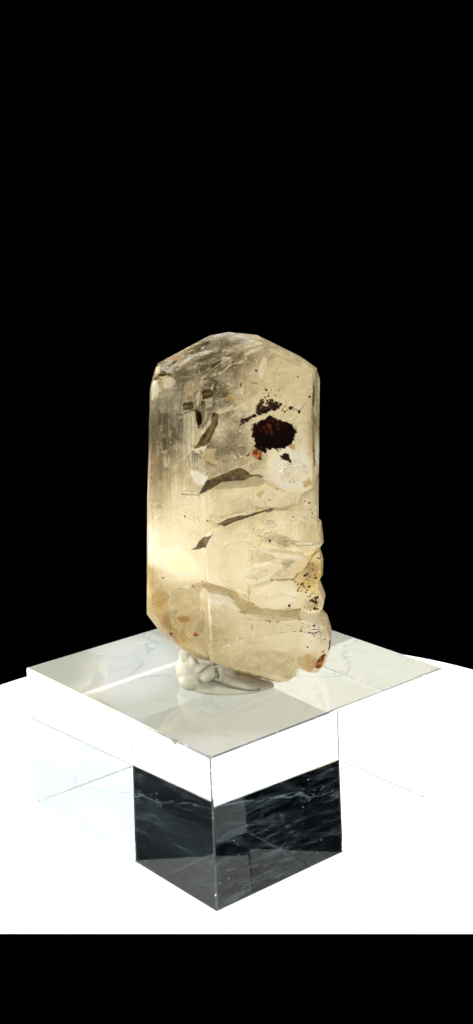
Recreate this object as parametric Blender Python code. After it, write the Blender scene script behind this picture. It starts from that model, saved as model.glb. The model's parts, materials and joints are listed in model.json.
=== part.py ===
"""A gwindel quartz: a twisted stack of quartz crystals grown together, propped in a wad of
mineral putty on a clear acrylic display block.

Frame: +Z up, +X to the right of the crystal's broad face, which looks towards -Y. The origin is
the middle of the block's underside. Lengths below are millimetres; MM turns them into metres.
Crystal points are (x, h): h is the height above the block's top face.
"""

import math
import random
from collections import namedtuple
from itertools import product

import bmesh
import bpy
from mathutils import Euler, Matrix, Vector

MM = 0.001

# Driving dimensions of the display block: a standard 2 x 2 x 1 inch piece of cast acrylic.
BLOCK_SIDE = 50.8
BLOCK_HEIGHT = 25.4
BLOCK_TURN = math.radians(39.7)  # the block stands corner-on to the crystal's broad face
BLOCK_BEVEL = 0.25
TOUCH_GAP = 0.3  # air left between solids that rest on each other
# Chips knocked out of the block's upper edges, in the block's own axes: centre, size, turns.
BLOCK_CHIPS = [
    ((-25.5, -16.7, 12.9), (1.0, 1.5, 1.5), (0.7, 0.5, 0.3)),
    ((-25.4, -25.4, 13.0), (1.3, 1.3, 1.6), (0.6, 0.9, 0.4)),
]

# Driving dimensions of the crystal.
TWIST = math.tan(math.radians(4.0))  # the gwindel's turn at its top, and the other way at its foot
TWIST_MIDDLE = 29.0  # the height where the stack isn't turned
FRONT_RING_Y = -5.2  # depth of the stack's flat front, before the plates that grew on it
MIDDLE_Y = -2.0  # depth of the widest outline
BACK_RING_Y = 3.6
ROOT_Y = -4.4  # how far back each front plate is rooted in the stack

# The stack's outline at three depths, anticlockwise from the lower left.
FRONT_RING = [
    (-12.7, 13.6), (-11.2, 10.6), (-8.2, 6.6), (1.0, 1.8), (9.7, 0.9), (13.2, 3.0), (14.5, 6.8),
    (14.4, 13.0), (14.6, 22.8), (14.2, 28.5), (14.2, 42.1), (14.5, 51.6), (6.7, 56.2), (3.9, 55.6),
    (0.2, 54.0), (-3.4, 51.9), (-8.9, 51.4), (-11.0, 50.0), (-12.2, 31.5),
]
MIDDLE_RING = [
    (-13.9, 11.1), (-12.0, 8.2), (-8.3, 4.4), (1.5, 0.7), (10.5, 0.6), (13.2, 2.6), (13.8, 8.8),
    (15.6, 46.3), (15.7, 49.9), (15.2, 51.7), (12.7, 53.6), (5.9, 57.2),
    (1.4, 57.8), (-1.6, 57.3), (-10.1, 53.1), (-10.8, 51.8), (-11.6, 48.9), (-12.9, 30.7),
]
BACK_RING = [
    (-11.6, 13.0), (-9.0, 8.8), (-5.0, 5.6), (2.0, 3.4), (9.0, 3.6), (11.6, 7.2), (12.4, 14.0),
    (12.6, 30.0), (13.0, 47.5), (11.4, 50.6), (5.6, 54.2), (0.0, 54.4), (-7.2, 51.0), (-9.4, 48.0),
]

# One crystal plate of the broad face. depth is the y of its face at the outline's middle,
# lean how far the face recedes per mm upwards, turn how far it recedes per mm to the right,
# and flare how far its sides spread (left, right, down, up) between the face and its root.
Plate = namedtuple("Plate", "outline depth lean turn flare")

FACE_PLATES = [
    # the tall smooth face on the upper right
    Plate([(3.4, 37.4), (5.9, 34.9), (11.3, 31.6), (14.0, 33.0), (14.0, 42.4), (14.3, 51.4),
           (6.6, 55.7), (4.0, 54.6)], -6.7, 0.035, 0.03, (0.7, 0.3, 0.8, 0.5)),
    # the pane beside it, under the crown
    Plate([(-3.1, 47.6), (4.2, 46.6), (4.4, 53.6), (0.2, 52.9), (-3.0, 51.0)],
          -6.2, 0.10, -0.02, (0.5, 0.2, 1.2, 0.8)),
    # slanting panes of the crown, one over the other
    Plate([(-9.4, 50.7), (-5.4, 50.9), (-3.4, 51.6), (-1.6, 53.2), (-4.6, 53.0), (-8.4, 51.8)],
          -4.9, 0.30, -0.06, (0.3, 0.3, 0.5, 0.3)),
    Plate([(-2.2, 50.2), (0.6, 51.6), (3.6, 54.4), (3.0, 55.0), (0.4, 53.6), (-2.6, 51.6)],
          -5.9, 0.16, 0.04, (0.4, 0.3, 0.6, 0.4)),
    Plate([(-0.6, 48.6), (2.2, 49.4), (4.6, 53.0), (4.2, 54.2), (1.2, 51.8), (-0.8, 49.8)],
          -6.45, 0.10, 0.06, (0.3, 0.3, 0.4, 0.3)),
    # the middle plate, whose slanting underside is the darkest ledge
    Plate([(-3.3, 39.9), (-2.9, 35.0), (-0.8, 35.8), (3.3, 36.9), (6.0, 35.3), (6.2, 44.4),
           (3.7, 46.9), (-0.6, 45.6)], -7.7, 0.0, -0.02, (1.3, 0.6, 3.6, 0.6)),
    # the tilted pane left of it, running down to the same ledge
    Plate([(-6.3, 33.2), (-4.2, 32.6), (-2.4, 35.6), (-2.8, 38.6), (-5.2, 39.8), (-6.4, 38.0)],
          -6.7, 0.03, -0.20, (0.6, 0.3, 0.4, 0.5)),
    # two plates between the first and second ledge, leaning back
    Plate([(-3.2, 31.4), (-2.4, 28.4), (-1.5, 27.8), (2.2, 28.9), (4.7, 29.3), (5.2, 33.2),
           (1.0, 32.6)], -6.8, 0.22, 0.05, (0.5, 0.3, 2.0, 0.3)),
    Plate([(4.4, 32.8), (4.2, 30.4), (9.2, 29.9), (11.6, 30.6), (12.0, 31.8), (6.2, 33.8)],
          -7.0, 0.30, 0.02, (0.3, 0.4, 1.0, 0.3)),
    # the right shoulder over the second ledge
    Plate([(7.3, 25.9), (10.2, 24.5), (11.8, 24.0), (15.0, 24.1), (14.6, 27.4), (12.6, 29.2),
           (7.0, 29.3), (5.7, 27.9)], -7.1, 0.12, 0.03, (0.8, 0.3, 1.9, 0.3)),
    # the pale bands that run down to the right under it
    Plate([(4.6, 26.6), (7.6, 26.9), (10.6, 25.4), (15.0, 24.9), (13.6, 23.6), (9.6, 23.8),
           (6.6, 24.9), (4.4, 25.6)], -6.9, 0.34, 0.05, (0.3, 0.3, 0.3, 0.6)),
    # the broad plate in the middle of the stack, with a dark left side
    Plate([(-3.3, 23.6), (-3.6, 18.0), (-0.1, 16.6), (2.8, 15.4), (3.6, 19.0), (5.6, 24.8),
           (3.0, 26.6), (-0.3, 26.4), (-2.1, 25.8)], -7.1, 0.07, 0.0, (3.0, 0.3, 0.6, 0.8)),
    # the lens-shaped plates that end in the right-hand tips
    Plate([(3.6, 23.2), (6.1, 22.2), (8.6, 21.2), (13.2, 21.0), (12.0, 19.0), (6.0, 19.4),
           (3.2, 20.6)], -7.9, 0.10, 0.06, (0.3, 0.6, 0.5, 1.6)),
    Plate([(2.2, 18.4), (3.6, 19.8), (6.2, 20.6), (9.0, 20.4), (6.6, 18.0), (3.6, 17.3)],
          -7.8, 0.55, -0.05, (0.3, 0.5, 0.3, 0.8)),
    Plate([(6.6, 18.1), (10.5, 17.9), (13.0, 20.4), (9.0, 21.0)],
          -7.2, 0.10, 0.05, (0.3, 0.3, 0.4, 0.4)),
    Plate([(10.9, 17.5), (14.8, 17.3), (15.2, 18.6), (15.0, 22.2), (13.5, 20.5)],
          -6.2, 0.06, 0.16, (0.2, 0.2, 0.2, 0.2)),
    # the plate over the long curved ledge
    Plate([(3.4, 14.3), (5.2, 13.1), (9.1, 12.4), (11.1, 12.6), (14.6, 13.0), (14.7, 16.4),
           (11.3, 17.5), (6.8, 17.7), (3.4, 17.2)], -7.0, 0.10, 0.05, (0.5, 0.3, 0.5, 0.4)),
    # the foot of the stack: two blocks that stand furthest forward
    Plate([(-4.7, 16.8), (-3.7, 16.9), (-0.1, 16.1), (1.7, 13.4), (1.6, 8.0), (-4.8, 9.0)],
          -9.5, 0.03, -0.03, (0.6, 0.6, 0.4, 0.7)),
    Plate([(-9.6, 16.2), (-4.7, 16.7), (-4.6, 8.6), (-9.4, 11.6)],
          -8.5, 0.02, -0.34, (0.9, 0.2, 0.6, 0.6)),
    Plate([(1.4, 13.4), (4.1, 12.3), (5.7, 11.8), (11.4, 11.6), (14.4, 10.4), (14.6, 9.0),
           (7.4, 8.8), (1.4, 8.0)], -9.7, 0.02, 0.05, (0.3, 0.9, 0.4, 0.9)),
    Plate([(1.4, 8.6), (7.4, 9.1), (14.4, 9.3), (14.9, 7.2), (12.8, 5.4), (10.4, 4.6), (1.5, 6.2)],
          -9.5, -0.03, 0.05, (0.3, 0.9, 0.6, 0.4)),
    Plate([(-7.6, 8.6), (-4.6, 9.4), (1.7, 8.4), (8.0, 6.6), (10.3, 5.4), (11.2, 4.2), (10.6, 1.4),
           (9.2, 0.4), (7.2, 0.4), (1.0, 2.7), (-4.8, 5.6)], -9.1, -0.07, 0.0, (0.8, 0.9, 0.1, 0.5)),
]

# Growth terraces on each face plate: how many, their share of its size, and their height.
TERRACES = 2
TERRACE_SHARE = (0.42, 0.78)
TERRACE_RISE = (0.12, 0.30)
SMALLEST_TERRACED = 1.6  # mm; lower plates than this are too narrow for terraces

# The crystal tips that stand out along the right side: outline, front y, back y.
SIDE_TIPS = [
    ([(9.0, 27.6), (13.6, 27.4), (15.6, 26.0), (15.9, 22.7), (15.4, 22.1), (9.0, 21.0)], -5.6, 1.2),
    ([(9.0, 22.8), (15.2, 21.9), (15.8, 19.7), (15.7, 16.9), (15.2, 16.2), (9.0, 15.6)], -5.2, 1.8),
    ([(9.0, 17.0), (15.1, 16.1), (16.1, 13.2), (15.8, 11.6), (15.1, 10.9), (9.0, 10.0)], -5.8, 2.2),
    ([(9.0, 11.0), (14.9, 11.2), (16.4, 9.6), (17.0, 7.3), (16.9, 5.6), (16.0, 2.6), (14.4, 0.7),
      (12.6, 0.9), (9.0, 3.0)], -8.2, 1.6),
]
TIP_TAPER = 0.86  # how much smaller a side tip's ends are than its middle

# The ribbed column on the left: growth ridges that run the height of the stack.
RIB_EDGES = [-12.3, -11.2, -10.2, -9.6, -8.5, -7.9, -7.2, -6.4, -5.9, -5.0, -3.9]
RIB_BOTTOM, RIB_TOP = 15.0, 48.6
RIB_LEAN_X = 0.048  # the column leans this far right per mm upwards
RIB_DEPTH = -5.5
RIB_RELIEF = 0.45

# Notches and pits: outline, depth of the mouth, depth of the floor, and how far the floor
# shrinks and slides up towards the dark end.
Pit = namedtuple("Pit", "outline mouth floor shrink slide")
PITS = [
    # the long groove beside the middle plate
    Pit([(-5.0, 40.0), (-3.0, 41.0), (-0.9, 44.0), (-0.7, 46.0), (-1.7, 46.1), (-3.2, 43.2)],
        -9.0, -4.4, 0.45, 0.9),
    # the square window and the slot in the ribbed column
    Pit([(-6.3, 46.2), (-4.6, 46.2), (-4.5, 47.6), (-6.2, 47.6)], -8.0, -4.9, 0.7, 0.3),
    Pit([(-4.1, 42.9), (-3.6, 42.8), (-3.3, 44.6), (-3.5, 46.0), (-4.0, 45.8)], -8.0, -4.4, 0.6, 0.0),
    # the broken hollow under the crown
    Pit([(-3.4, 47.9), (-1.5, 48.4), (-1.0, 50.0), (-2.6, 50.4), (-3.5, 49.6)], -8.0, -5.0, 0.6, 0.3),
    # the notch where the crown meets the column
    Pit([(-13.0, 50.3), (-9.6, 51.0), (-8.0, 51.2), (-8.4, 51.8), (-10.2, 51.8), (-13.0, 50.9)],
        -8.0, -3.6, 0.8, 0.0),
]

# The back: individuals of the stack, each turned a little further than the one below.
BACK_CRYSTALS = 7
BACK_BOTTOM, BACK_TOP = 11.5, 49.5
BACK_TWIST = math.radians(-8)  # over the whole stack, on top of the turn of each level
BACK_FACE_Y = 5.6

# Putty wad: lumps (x, y, h, radii x y h) squeezed together under the crystal's raised end.
PUTTY_LUMPS = [
    ((-5.6, -5.4, 2.5), (3.5, 4.6, 3.4)),
    ((-6.5, -4.4, 4.6), (2.2, 3.0, 2.4)),
    ((-5.2, -8.2, 1.9), (2.4, 1.9, 2.3)),
    ((-4.0, -7.4, 4.0), (2.4, 1.9, 2.0)),
    ((-1.8, -8.8, 2.1), (2.1, 1.6, 2.1)),
    ((0.8, -9.0, 1.5), (2.2, 1.5, 1.6)),
    ((4.2, -8.9, 0.8), (4.2, 2.2, 1.1)),
    ((0.6, -6.8, 0.9), (6.8, 4.4, 1.2)),
    ((-1.0, -2.6, 1.6), (5.4, 4.6, 2.6)),
    ((1.0, 0.4, 1.0), (4.2, 3.2, 1.8)),
]
PUTTY_VOXEL = 0.42
PUTTY_CLEARANCE = 0.35


def clear_scene():
    for obj in list(bpy.data.objects):
        bpy.data.objects.remove(obj)


def material(name, colour, roughness, transmission=0.0, ior=1.5):
    made = bpy.data.materials.new(name)
    made.use_nodes = True
    shader = made.node_tree.nodes["Principled BSDF"]
    shader.inputs["Base Color"].default_value = (*colour, 1.0)
    shader.inputs["Roughness"].default_value = roughness
    shader.inputs["Metallic"].default_value = 0.0
    shader.inputs["Transmission Weight"].default_value = transmission
    shader.inputs["IOR"].default_value = ior
    return made


def above_block(x, y, h):
    """A point in metres: x and y in the frame, h above the block's top face."""
    return Vector((x, y, BLOCK_HEIGHT + h)) * MM


def at(x, y, h):
    """A point of the crystal: every level is turned a little further than the one below."""
    turn = TWIST * (1 - h / TWIST_MIDDLE)
    return above_block(x, y + turn * x, h)


def new_object(name, bm, collection):
    mesh = bpy.data.meshes.new(name)
    bmesh.ops.recalc_face_normals(bm, faces=bm.faces)
    bm.to_mesh(mesh)
    bm.free()
    made = bpy.data.objects.new(name, mesh)
    collection.objects.link(made)
    return made


def convex(name, points, collection):
    """The convex solid around the points, with its flat faces whole."""
    bm = bmesh.new()
    for point in points:
        bm.verts.new(point)
    hull = bmesh.ops.convex_hull(bm, input=bm.verts)
    inside = [v for v in hull["geom_interior"] if isinstance(v, bmesh.types.BMVert)]
    bmesh.ops.delete(bm, geom=inside, context="VERTS")
    bmesh.ops.dissolve_limit(bm, angle_limit=math.radians(0.2), verts=bm.verts, edges=bm.edges)
    return new_object(name, bm, collection)


def helpers(name):
    """A collection for the shapes that a Boolean joins or cuts with: no render, no node."""
    made = bpy.data.collections.new(name)
    bpy.context.scene.collection.children.link(made)
    made.hide_render = True
    return made


def hide_helper(obj):
    obj.hide_render = True
    obj.display_type = "WIRE"


def middle(outline):
    xs, hs = zip(*outline)
    return (min(xs) + max(xs)) / 2, (min(hs) + max(hs)) / 2


def flared(outline, flare):
    """The outline with its sides moved out by (left, right, down, up)."""
    left, right, down, up = flare
    (cx, ch) = middle(outline)
    half_x = max(x for x, _ in outline) - cx
    half_h = max(h for _, h in outline) - ch
    spread = []
    for x, h in outline:
        side, rise = (x - cx) / half_x, (h - ch) / half_h
        spread.append((x + side * (right if side > 0 else left), h + rise * (up if rise > 0 else down)))
    return spread


def shrunk(outline, share):
    cx, ch = middle(outline)
    return [(cx + (x - cx) * share, ch + (h - ch) * share) for x, h in outline]


def plate_corners(plate):
    """The corners of a plate's tilted flat face, and of its wider root in the stack."""
    cx, ch = middle(plate.outline)
    face = [at(x, plate.depth + plate.turn * (x - cx) + plate.lean * (h - ch), h)
            for x, h in plate.outline]
    return face + [at(x, ROOT_Y, h) for x, h in flared(plate.outline, plate.flare)]


def face_plate(index, plate, collection):
    """One plate of the broad face: a tilted flat face whose sides slope back to its root."""
    return convex(f"face_plate_{index}", plate_corners(plate), collection)


def terraces(plate, chance):
    """The growth terraces of a plate: smaller copies of its outline, slid towards one side."""
    cx, ch = middle(plate.outline)
    half_x = max(x for x, _ in plate.outline) - cx
    half_h = max(h for _, h in plate.outline) - ch
    grown = []
    rise = 0.0
    for _ in range(TERRACES if half_h > SMALLEST_TERRACED / 2 else 0):
        share = chance.uniform(*TERRACE_SHARE)
        slide_x = half_x * (1 - share) * chance.uniform(-0.8, 0.8)
        slide_h = half_h * (1 - share) * chance.uniform(-0.8, 0.8)
        rise += chance.uniform(*TERRACE_RISE)
        depth = plate.depth + plate.turn * slide_x + plate.lean * slide_h - rise
        outline = [(x + slide_x, h + slide_h) for x, h in shrunk(plate.outline, share)]
        grown.append(Plate(outline, depth, plate.lean, plate.turn, (0.15, 0.15, 0.25, 0.15)))
    return grown


def side_tip(index, outline, front, back, collection):
    """A crystal tip on the right side: full size at its middle, smaller at both ends."""
    halfway = (front + back) / 2
    rings = ((front, TIP_TAPER), (halfway - 1.0, 1.0), (halfway + 1.0, 1.0), (back, TIP_TAPER))
    points = [at(x, y, h) for y, share in rings for x, h in shrunk(outline, share)]
    return convex(f"side_tip_{index}", points, collection)


def rib(index, left, right, chance, collection):
    """One growth ridge of the left column, a long bar with a slightly tilted face."""
    top = RIB_TOP - chance.uniform(0.0, 2.4)
    bottom = RIB_BOTTOM - chance.uniform(0.0, 0.5)
    depth = RIB_DEPTH - chance.uniform(0.0, RIB_RELIEF)
    tilt = chance.uniform(-0.10, 0.10)
    points = []
    for h in (bottom, top):
        lean = RIB_LEAN_X * (h - RIB_BOTTOM)
        points += [at(left + lean + 0.06, depth - tilt, h), at(right + lean - 0.06, depth + tilt, h)]
        points += [at(left + lean - 0.10, ROOT_Y, h), at(right + lean + 0.10, ROOT_Y, h)]
    return convex(f"rib_{index}", points, collection)


def back_crystal(index, chance, collection):
    """One individual of the back: a broad six-sided plate, turned by its share of the twist."""
    share = index / (BACK_CRYSTALS - 1)
    twist = BACK_TWIST * (share - 0.5)
    height = BACK_BOTTOM + share * (BACK_TOP - BACK_BOTTOM)
    lean = RIB_LEAN_X * (height - BACK_BOTTOM) + 0.6
    half_x = 9.4 - 1.6 * abs(2 * share - 1) ** 2 + chance.uniform(-0.4, 0.4)
    half_h = (BACK_TOP - BACK_BOTTOM) / BACK_CRYSTALS * chance.uniform(0.72, 0.92)
    depth = BACK_FACE_Y + chance.uniform(-0.5, 0.5)
    outline = [(-half_x, -0.35 * half_h), (-half_x + 3, -half_h), (half_x - 2.2, -half_h),
               (half_x, 0.2 * half_h), (half_x - 3.4, half_h), (-half_x + 2.4, half_h)]
    slope = chance.uniform(-0.10, 0.04)
    face = [at(lean + x * math.cos(twist), depth + x * math.sin(twist) + slope * h, height + h)
            for x, h in outline]
    root = [at(lean + 1.16 * x, 0.4, height + 1.35 * h) for x, h in outline]
    return convex(f"back_crystal_{index}", face + root, collection)


def pit_cutter(index, pit, collection):
    mouth = [at(x, pit.mouth, h) for x, h in flared(pit.outline, (0.15,) * 4)]
    floor = [at(x, pit.floor, h + pit.slide) for x, h in shrunk(pit.outline, pit.shrink)]
    return convex(f"pit_{index}", mouth + floor, collection)


def boolean(target, operation, collection):
    step = target.modifiers.new(operation.title(), "BOOLEAN")
    step.operation = operation
    step.solver = "EXACT"
    step.operand_type = "COLLECTION"
    step.collection = collection


def make_crystal():
    """The gwindel: one fused solid, as it grew."""
    grown, cuts = helpers("grown on the stack"), helpers("cut from the stack")
    chance = random.Random(7)
    rings = ((FRONT_RING_Y, FRONT_RING), (MIDDLE_Y, MIDDLE_RING), (BACK_RING_Y, BACK_RING))
    points = [at(x, y, h) for y, ring in rings for x, h in ring]
    stack = convex("gwindel_quartz", points, bpy.context.scene.collection)
    steps = [step for plate in FACE_PLATES for step in terraces(plate, chance)]
    joined = [face_plate(i, plate, grown) for i, plate in enumerate(FACE_PLATES + steps)]
    joined += [side_tip(i, *tip, grown) for i, tip in enumerate(SIDE_TIPS)]
    joined += [rib(i, left, right, chance, grown)
               for i, (left, right) in enumerate(zip(RIB_EDGES, RIB_EDGES[1:]))]
    joined += [back_crystal(i, chance, grown) for i in range(BACK_CRYSTALS)]
    joined += [pit_cutter(i, pit, cuts) for i, pit in enumerate(PITS)]
    for helper in joined:
        hide_helper(helper)
    boolean(stack, "UNION", grown)
    boolean(stack, "DIFFERENCE", cuts)
    stack.data.materials.append(material("quartz", (0.93, 0.88, 0.76), 0.05, 1.0, 1.544))
    return stack


def ellipsoid(name, centre, radii, collection):
    bm = bmesh.new()
    bmesh.ops.create_icosphere(bm, subdivisions=3, radius=1.0)
    x, y, h = centre
    place = Matrix.Translation(above_block(x, y, h)) @ Matrix.Diagonal((*(r * MM for r in radii), 1))
    bmesh.ops.transform(bm, matrix=place, verts=bm.verts)
    return new_object(name, bm, collection)


def box(name, centre, size, turns, collection):
    bm = bmesh.new()
    bmesh.ops.create_cube(bm, size=1.0)
    turn = Euler(turns).to_matrix().to_4x4()
    place = Matrix.Translation(Vector(centre) * MM) @ turn @ Matrix.Diagonal((*(s * MM for s in size), 1))
    bmesh.ops.transform(bm, matrix=place, verts=bm.verts)
    return new_object(name, bm, collection)


def crystal_foot(collection):
    """The foot of the crystal, a little larger all round: it shapes the putty's top."""
    rings = ((FRONT_RING_Y, FRONT_RING), (MIDDLE_Y, MIDDLE_RING), (BACK_RING_Y, BACK_RING))
    core = [at(x, y, h) for y, ring in rings for x, h in ring if h < 14]
    for plate in FACE_PLATES[-5:]:
        core += plate_corners(plate)
    corners = product((-PUTTY_CLEARANCE, PUTTY_CLEARANCE), repeat=3)
    grown = [point + Vector(corner) * MM for corner in corners for point in core]
    return convex("crystal_foot", grown, collection)


def make_putty():
    """The wad of mineral putty: lumps kneaded into one, flat underneath, dented by the crystal."""
    lumps, cuts = helpers("putty lumps"), helpers("putty dents")
    centre, radii = PUTTY_LUMPS[0]
    wad = ellipsoid("mineral_putty", centre, radii, bpy.context.scene.collection)
    for index, (centre, radii) in enumerate(PUTTY_LUMPS[1:]):
        hide_helper(ellipsoid(f"lump_{index}", centre, radii, lumps))
    boolean(wad, "UNION", lumps)
    melt = wad.modifiers.new("Knead", "REMESH")
    melt.mode = "VOXEL"
    melt.voxel_size = PUTTY_VOXEL * MM
    soften = wad.modifiers.new("Soften", "SMOOTH")
    soften.factor = 0.5
    soften.iterations = 2
    hide_helper(crystal_foot(cuts))
    depth = 12.0
    below = (0, 0, BLOCK_HEIGHT + TOUCH_GAP - depth / 2)
    hide_helper(box("block_top", below, (60, 60, depth), (0, 0, 0), cuts))
    boolean(wad, "DIFFERENCE", cuts)
    wad.data.materials.append(material("putty", (0.70, 0.70, 0.66), 0.62))
    return wad


def make_block():
    """The display block: a square slab of polished acrylic with fine broken edges, chipped."""
    cuts = helpers("block chips")
    middle_height = BLOCK_HEIGHT / 2
    stand = Matrix.Translation((0, 0, middle_height * MM)) @ Matrix.Rotation(BLOCK_TURN, 4, "Z")
    size = (BLOCK_SIDE, BLOCK_SIDE, BLOCK_HEIGHT)
    block = box("acrylic_block", (0, 0, 0), size, (0, 0, 0), bpy.context.scene.collection)
    block.matrix_world = stand
    edge = block.modifiers.new("Broken edges", "BEVEL")
    edge.width = BLOCK_BEVEL * MM
    edge.segments = 2
    for index, chip in enumerate(BLOCK_CHIPS):
        cutter = box(f"chip_{index}", *chip, cuts)
        cutter.matrix_world = stand
        hide_helper(cutter)
    boolean(block, "DIFFERENCE", cuts)
    block.data.materials.append(material("acrylic", (1.0, 1.0, 1.0), 0.0, 1.0, 1.49))
    return block


clear_scene()
make_crystal()
make_putty()
make_block()
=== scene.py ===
# %% [markdown]
# # A gwindel quartz on its display block
#
# A gwindel is a stack of quartz crystals that grew side by side, each turned a little against the
# one below. This one stands on its end, propped in a wad of mineral putty on a clear acrylic
# block. The solids come from the packed frame, and this lesson gives them their looks: crystal
# that is glassy in one place and milky in the next, iron stains, kneaded putty, and clean acrylic
# with a scratched underside.

# %% The frame, and the measures that everything is placed from
import json
import math

import bpy
import numpy as np
from mathutils import Matrix, Vector

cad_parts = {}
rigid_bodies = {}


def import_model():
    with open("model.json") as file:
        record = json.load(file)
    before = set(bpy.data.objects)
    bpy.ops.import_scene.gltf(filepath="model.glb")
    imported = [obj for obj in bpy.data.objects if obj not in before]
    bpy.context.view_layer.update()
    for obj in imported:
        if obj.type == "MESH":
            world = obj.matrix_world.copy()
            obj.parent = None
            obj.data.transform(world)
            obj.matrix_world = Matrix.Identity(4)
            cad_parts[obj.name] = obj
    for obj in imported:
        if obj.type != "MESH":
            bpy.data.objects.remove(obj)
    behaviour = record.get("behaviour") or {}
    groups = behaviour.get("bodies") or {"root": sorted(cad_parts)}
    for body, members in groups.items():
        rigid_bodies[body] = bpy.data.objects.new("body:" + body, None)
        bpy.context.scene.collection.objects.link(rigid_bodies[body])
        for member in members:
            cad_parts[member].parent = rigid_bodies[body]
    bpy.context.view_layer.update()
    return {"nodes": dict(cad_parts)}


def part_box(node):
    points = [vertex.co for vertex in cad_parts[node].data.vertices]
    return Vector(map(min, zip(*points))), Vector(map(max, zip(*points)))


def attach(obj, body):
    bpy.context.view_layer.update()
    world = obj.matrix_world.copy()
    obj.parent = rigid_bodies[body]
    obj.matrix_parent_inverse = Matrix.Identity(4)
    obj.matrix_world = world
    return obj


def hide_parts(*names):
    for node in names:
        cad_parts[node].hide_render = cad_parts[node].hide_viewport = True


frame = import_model()
for stray in [o for o in bpy.data.objects if o.name not in frame["nodes"] and o.type == "MESH"]:
    bpy.data.objects.remove(stray)

MM = 0.001
BLOCK_TURN = 39.7  # degrees: how far the block is turned from the room's axes
BLOCK_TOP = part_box("acrylic_block")[1].z
crystal_low, crystal_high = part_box("gwindel_quartz")
print("crystal, mm:", [round(v / MM, 1) for v in crystal_high - crystal_low])
print("block top at", round(BLOCK_TOP / MM, 1), "mm")


# %% [markdown]
# ## The camera
#
# The specimen is seen a little from above, with the block corner-on. The lens is a moderate
# telephoto from a quarter of a metre away, as for a mineral portrait. The camera is turned step
# by step, level first: tilted down, then rolled by a degree or two, as one held in the hand is.

# %% Camera
CAMERA_AT = Vector((1.68, -224.79, 112.74)) * MM
CAMERA_TILT = math.radians(14.89)
CAMERA_ROLL = math.radians(-1.9)
LENS_MM = 49.22
SENSOR_MM = 36
NEAREST_SEEN = 5 * MM

camera = bpy.data.objects.new("camera", bpy.data.cameras.new("camera"))
bpy.context.scene.collection.objects.link(camera)
tilted = Matrix.Rotation(math.pi / 2 - CAMERA_TILT, 3, "X")
held = tilted @ Matrix.Rotation(CAMERA_ROLL, 3, "Z")
camera.matrix_world = Matrix.Translation(CAMERA_AT) @ held.to_4x4()
camera.data.lens = LENS_MM
camera.data.sensor_width = SENSOR_MM
camera.data.clip_start = NEAREST_SEEN
bpy.context.scene.camera = camera
print("camera at", [round(v / MM) for v in CAMERA_AT], "mm")


# %% [markdown]
# ## Shader maths as Python
#
# A finish is a small calculation: how milky is the crystal here, how stained, how rough. Written
# with nodes one by one such sums are hard to read, so one small class wraps a socket and turns
# Python's signs into Math nodes.

# %% A number in a finish
class Number:
    """A number that varies over a surface. Python's signs on it add Math nodes."""

    def __init__(self, tree, socket):
        self.tree = tree
        self.socket = socket

    def _sum(self, operation, *values):
        node = self.tree.node("ShaderNodeMath", {"operation": operation}, list(values))
        return Number(self.tree, node.outputs[0])

    def __add__(self, other):
        return self._sum("ADD", self, other)

    def __sub__(self, other):
        return self._sum("SUBTRACT", self, other)

    def __rsub__(self, other):
        return self._sum("SUBTRACT", other, self)

    def __mul__(self, other):
        return self._sum("MULTIPLY", self, other)

    def __pow__(self, other):
        return self._sum("POWER", self, other)

    __radd__ = __add__
    __rmul__ = __mul__

    def most(self, other):
        return self._sum("MAXIMUM", self, other)

    def least(self, other):
        return self._sum("MINIMUM", self, other)

    def clamped(self):
        return self.most(0.0).least(1.0)

    def ramp(self, low, high, to_low=0.0, to_high=1.0):
        """Runs smoothly from to_low to to_high as the number runs from low to high."""
        settings = {"interpolation_type": "SMOOTHSTEP"}
        values = {"Value": self, "From Min": low, "From Max": high, "To Min": to_low, "To Max": to_high}
        return Number(self.tree, self.tree.node("ShaderNodeMapRange", settings, values).outputs[0])

    def thin_line(self, half):
        """1 where the number is nought, and 0 where it is further from it than half."""
        return self.most(self * -1).ramp(half, 0.0)


print("numbers ready")


# %% [markdown]
# ## A material under construction
#
# A material in Blender is a tree of nodes. It can be drawn by hand in the shader editor, but one with
# two hundred nodes is easier to read as a few lines. One method, node, makes any of them: its settings
# first, then the values or links of its sockets. The others are what every finish here ends with:
# two colours or two shaders mixed, fine relief, a surface, and what fills the inside.

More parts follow.
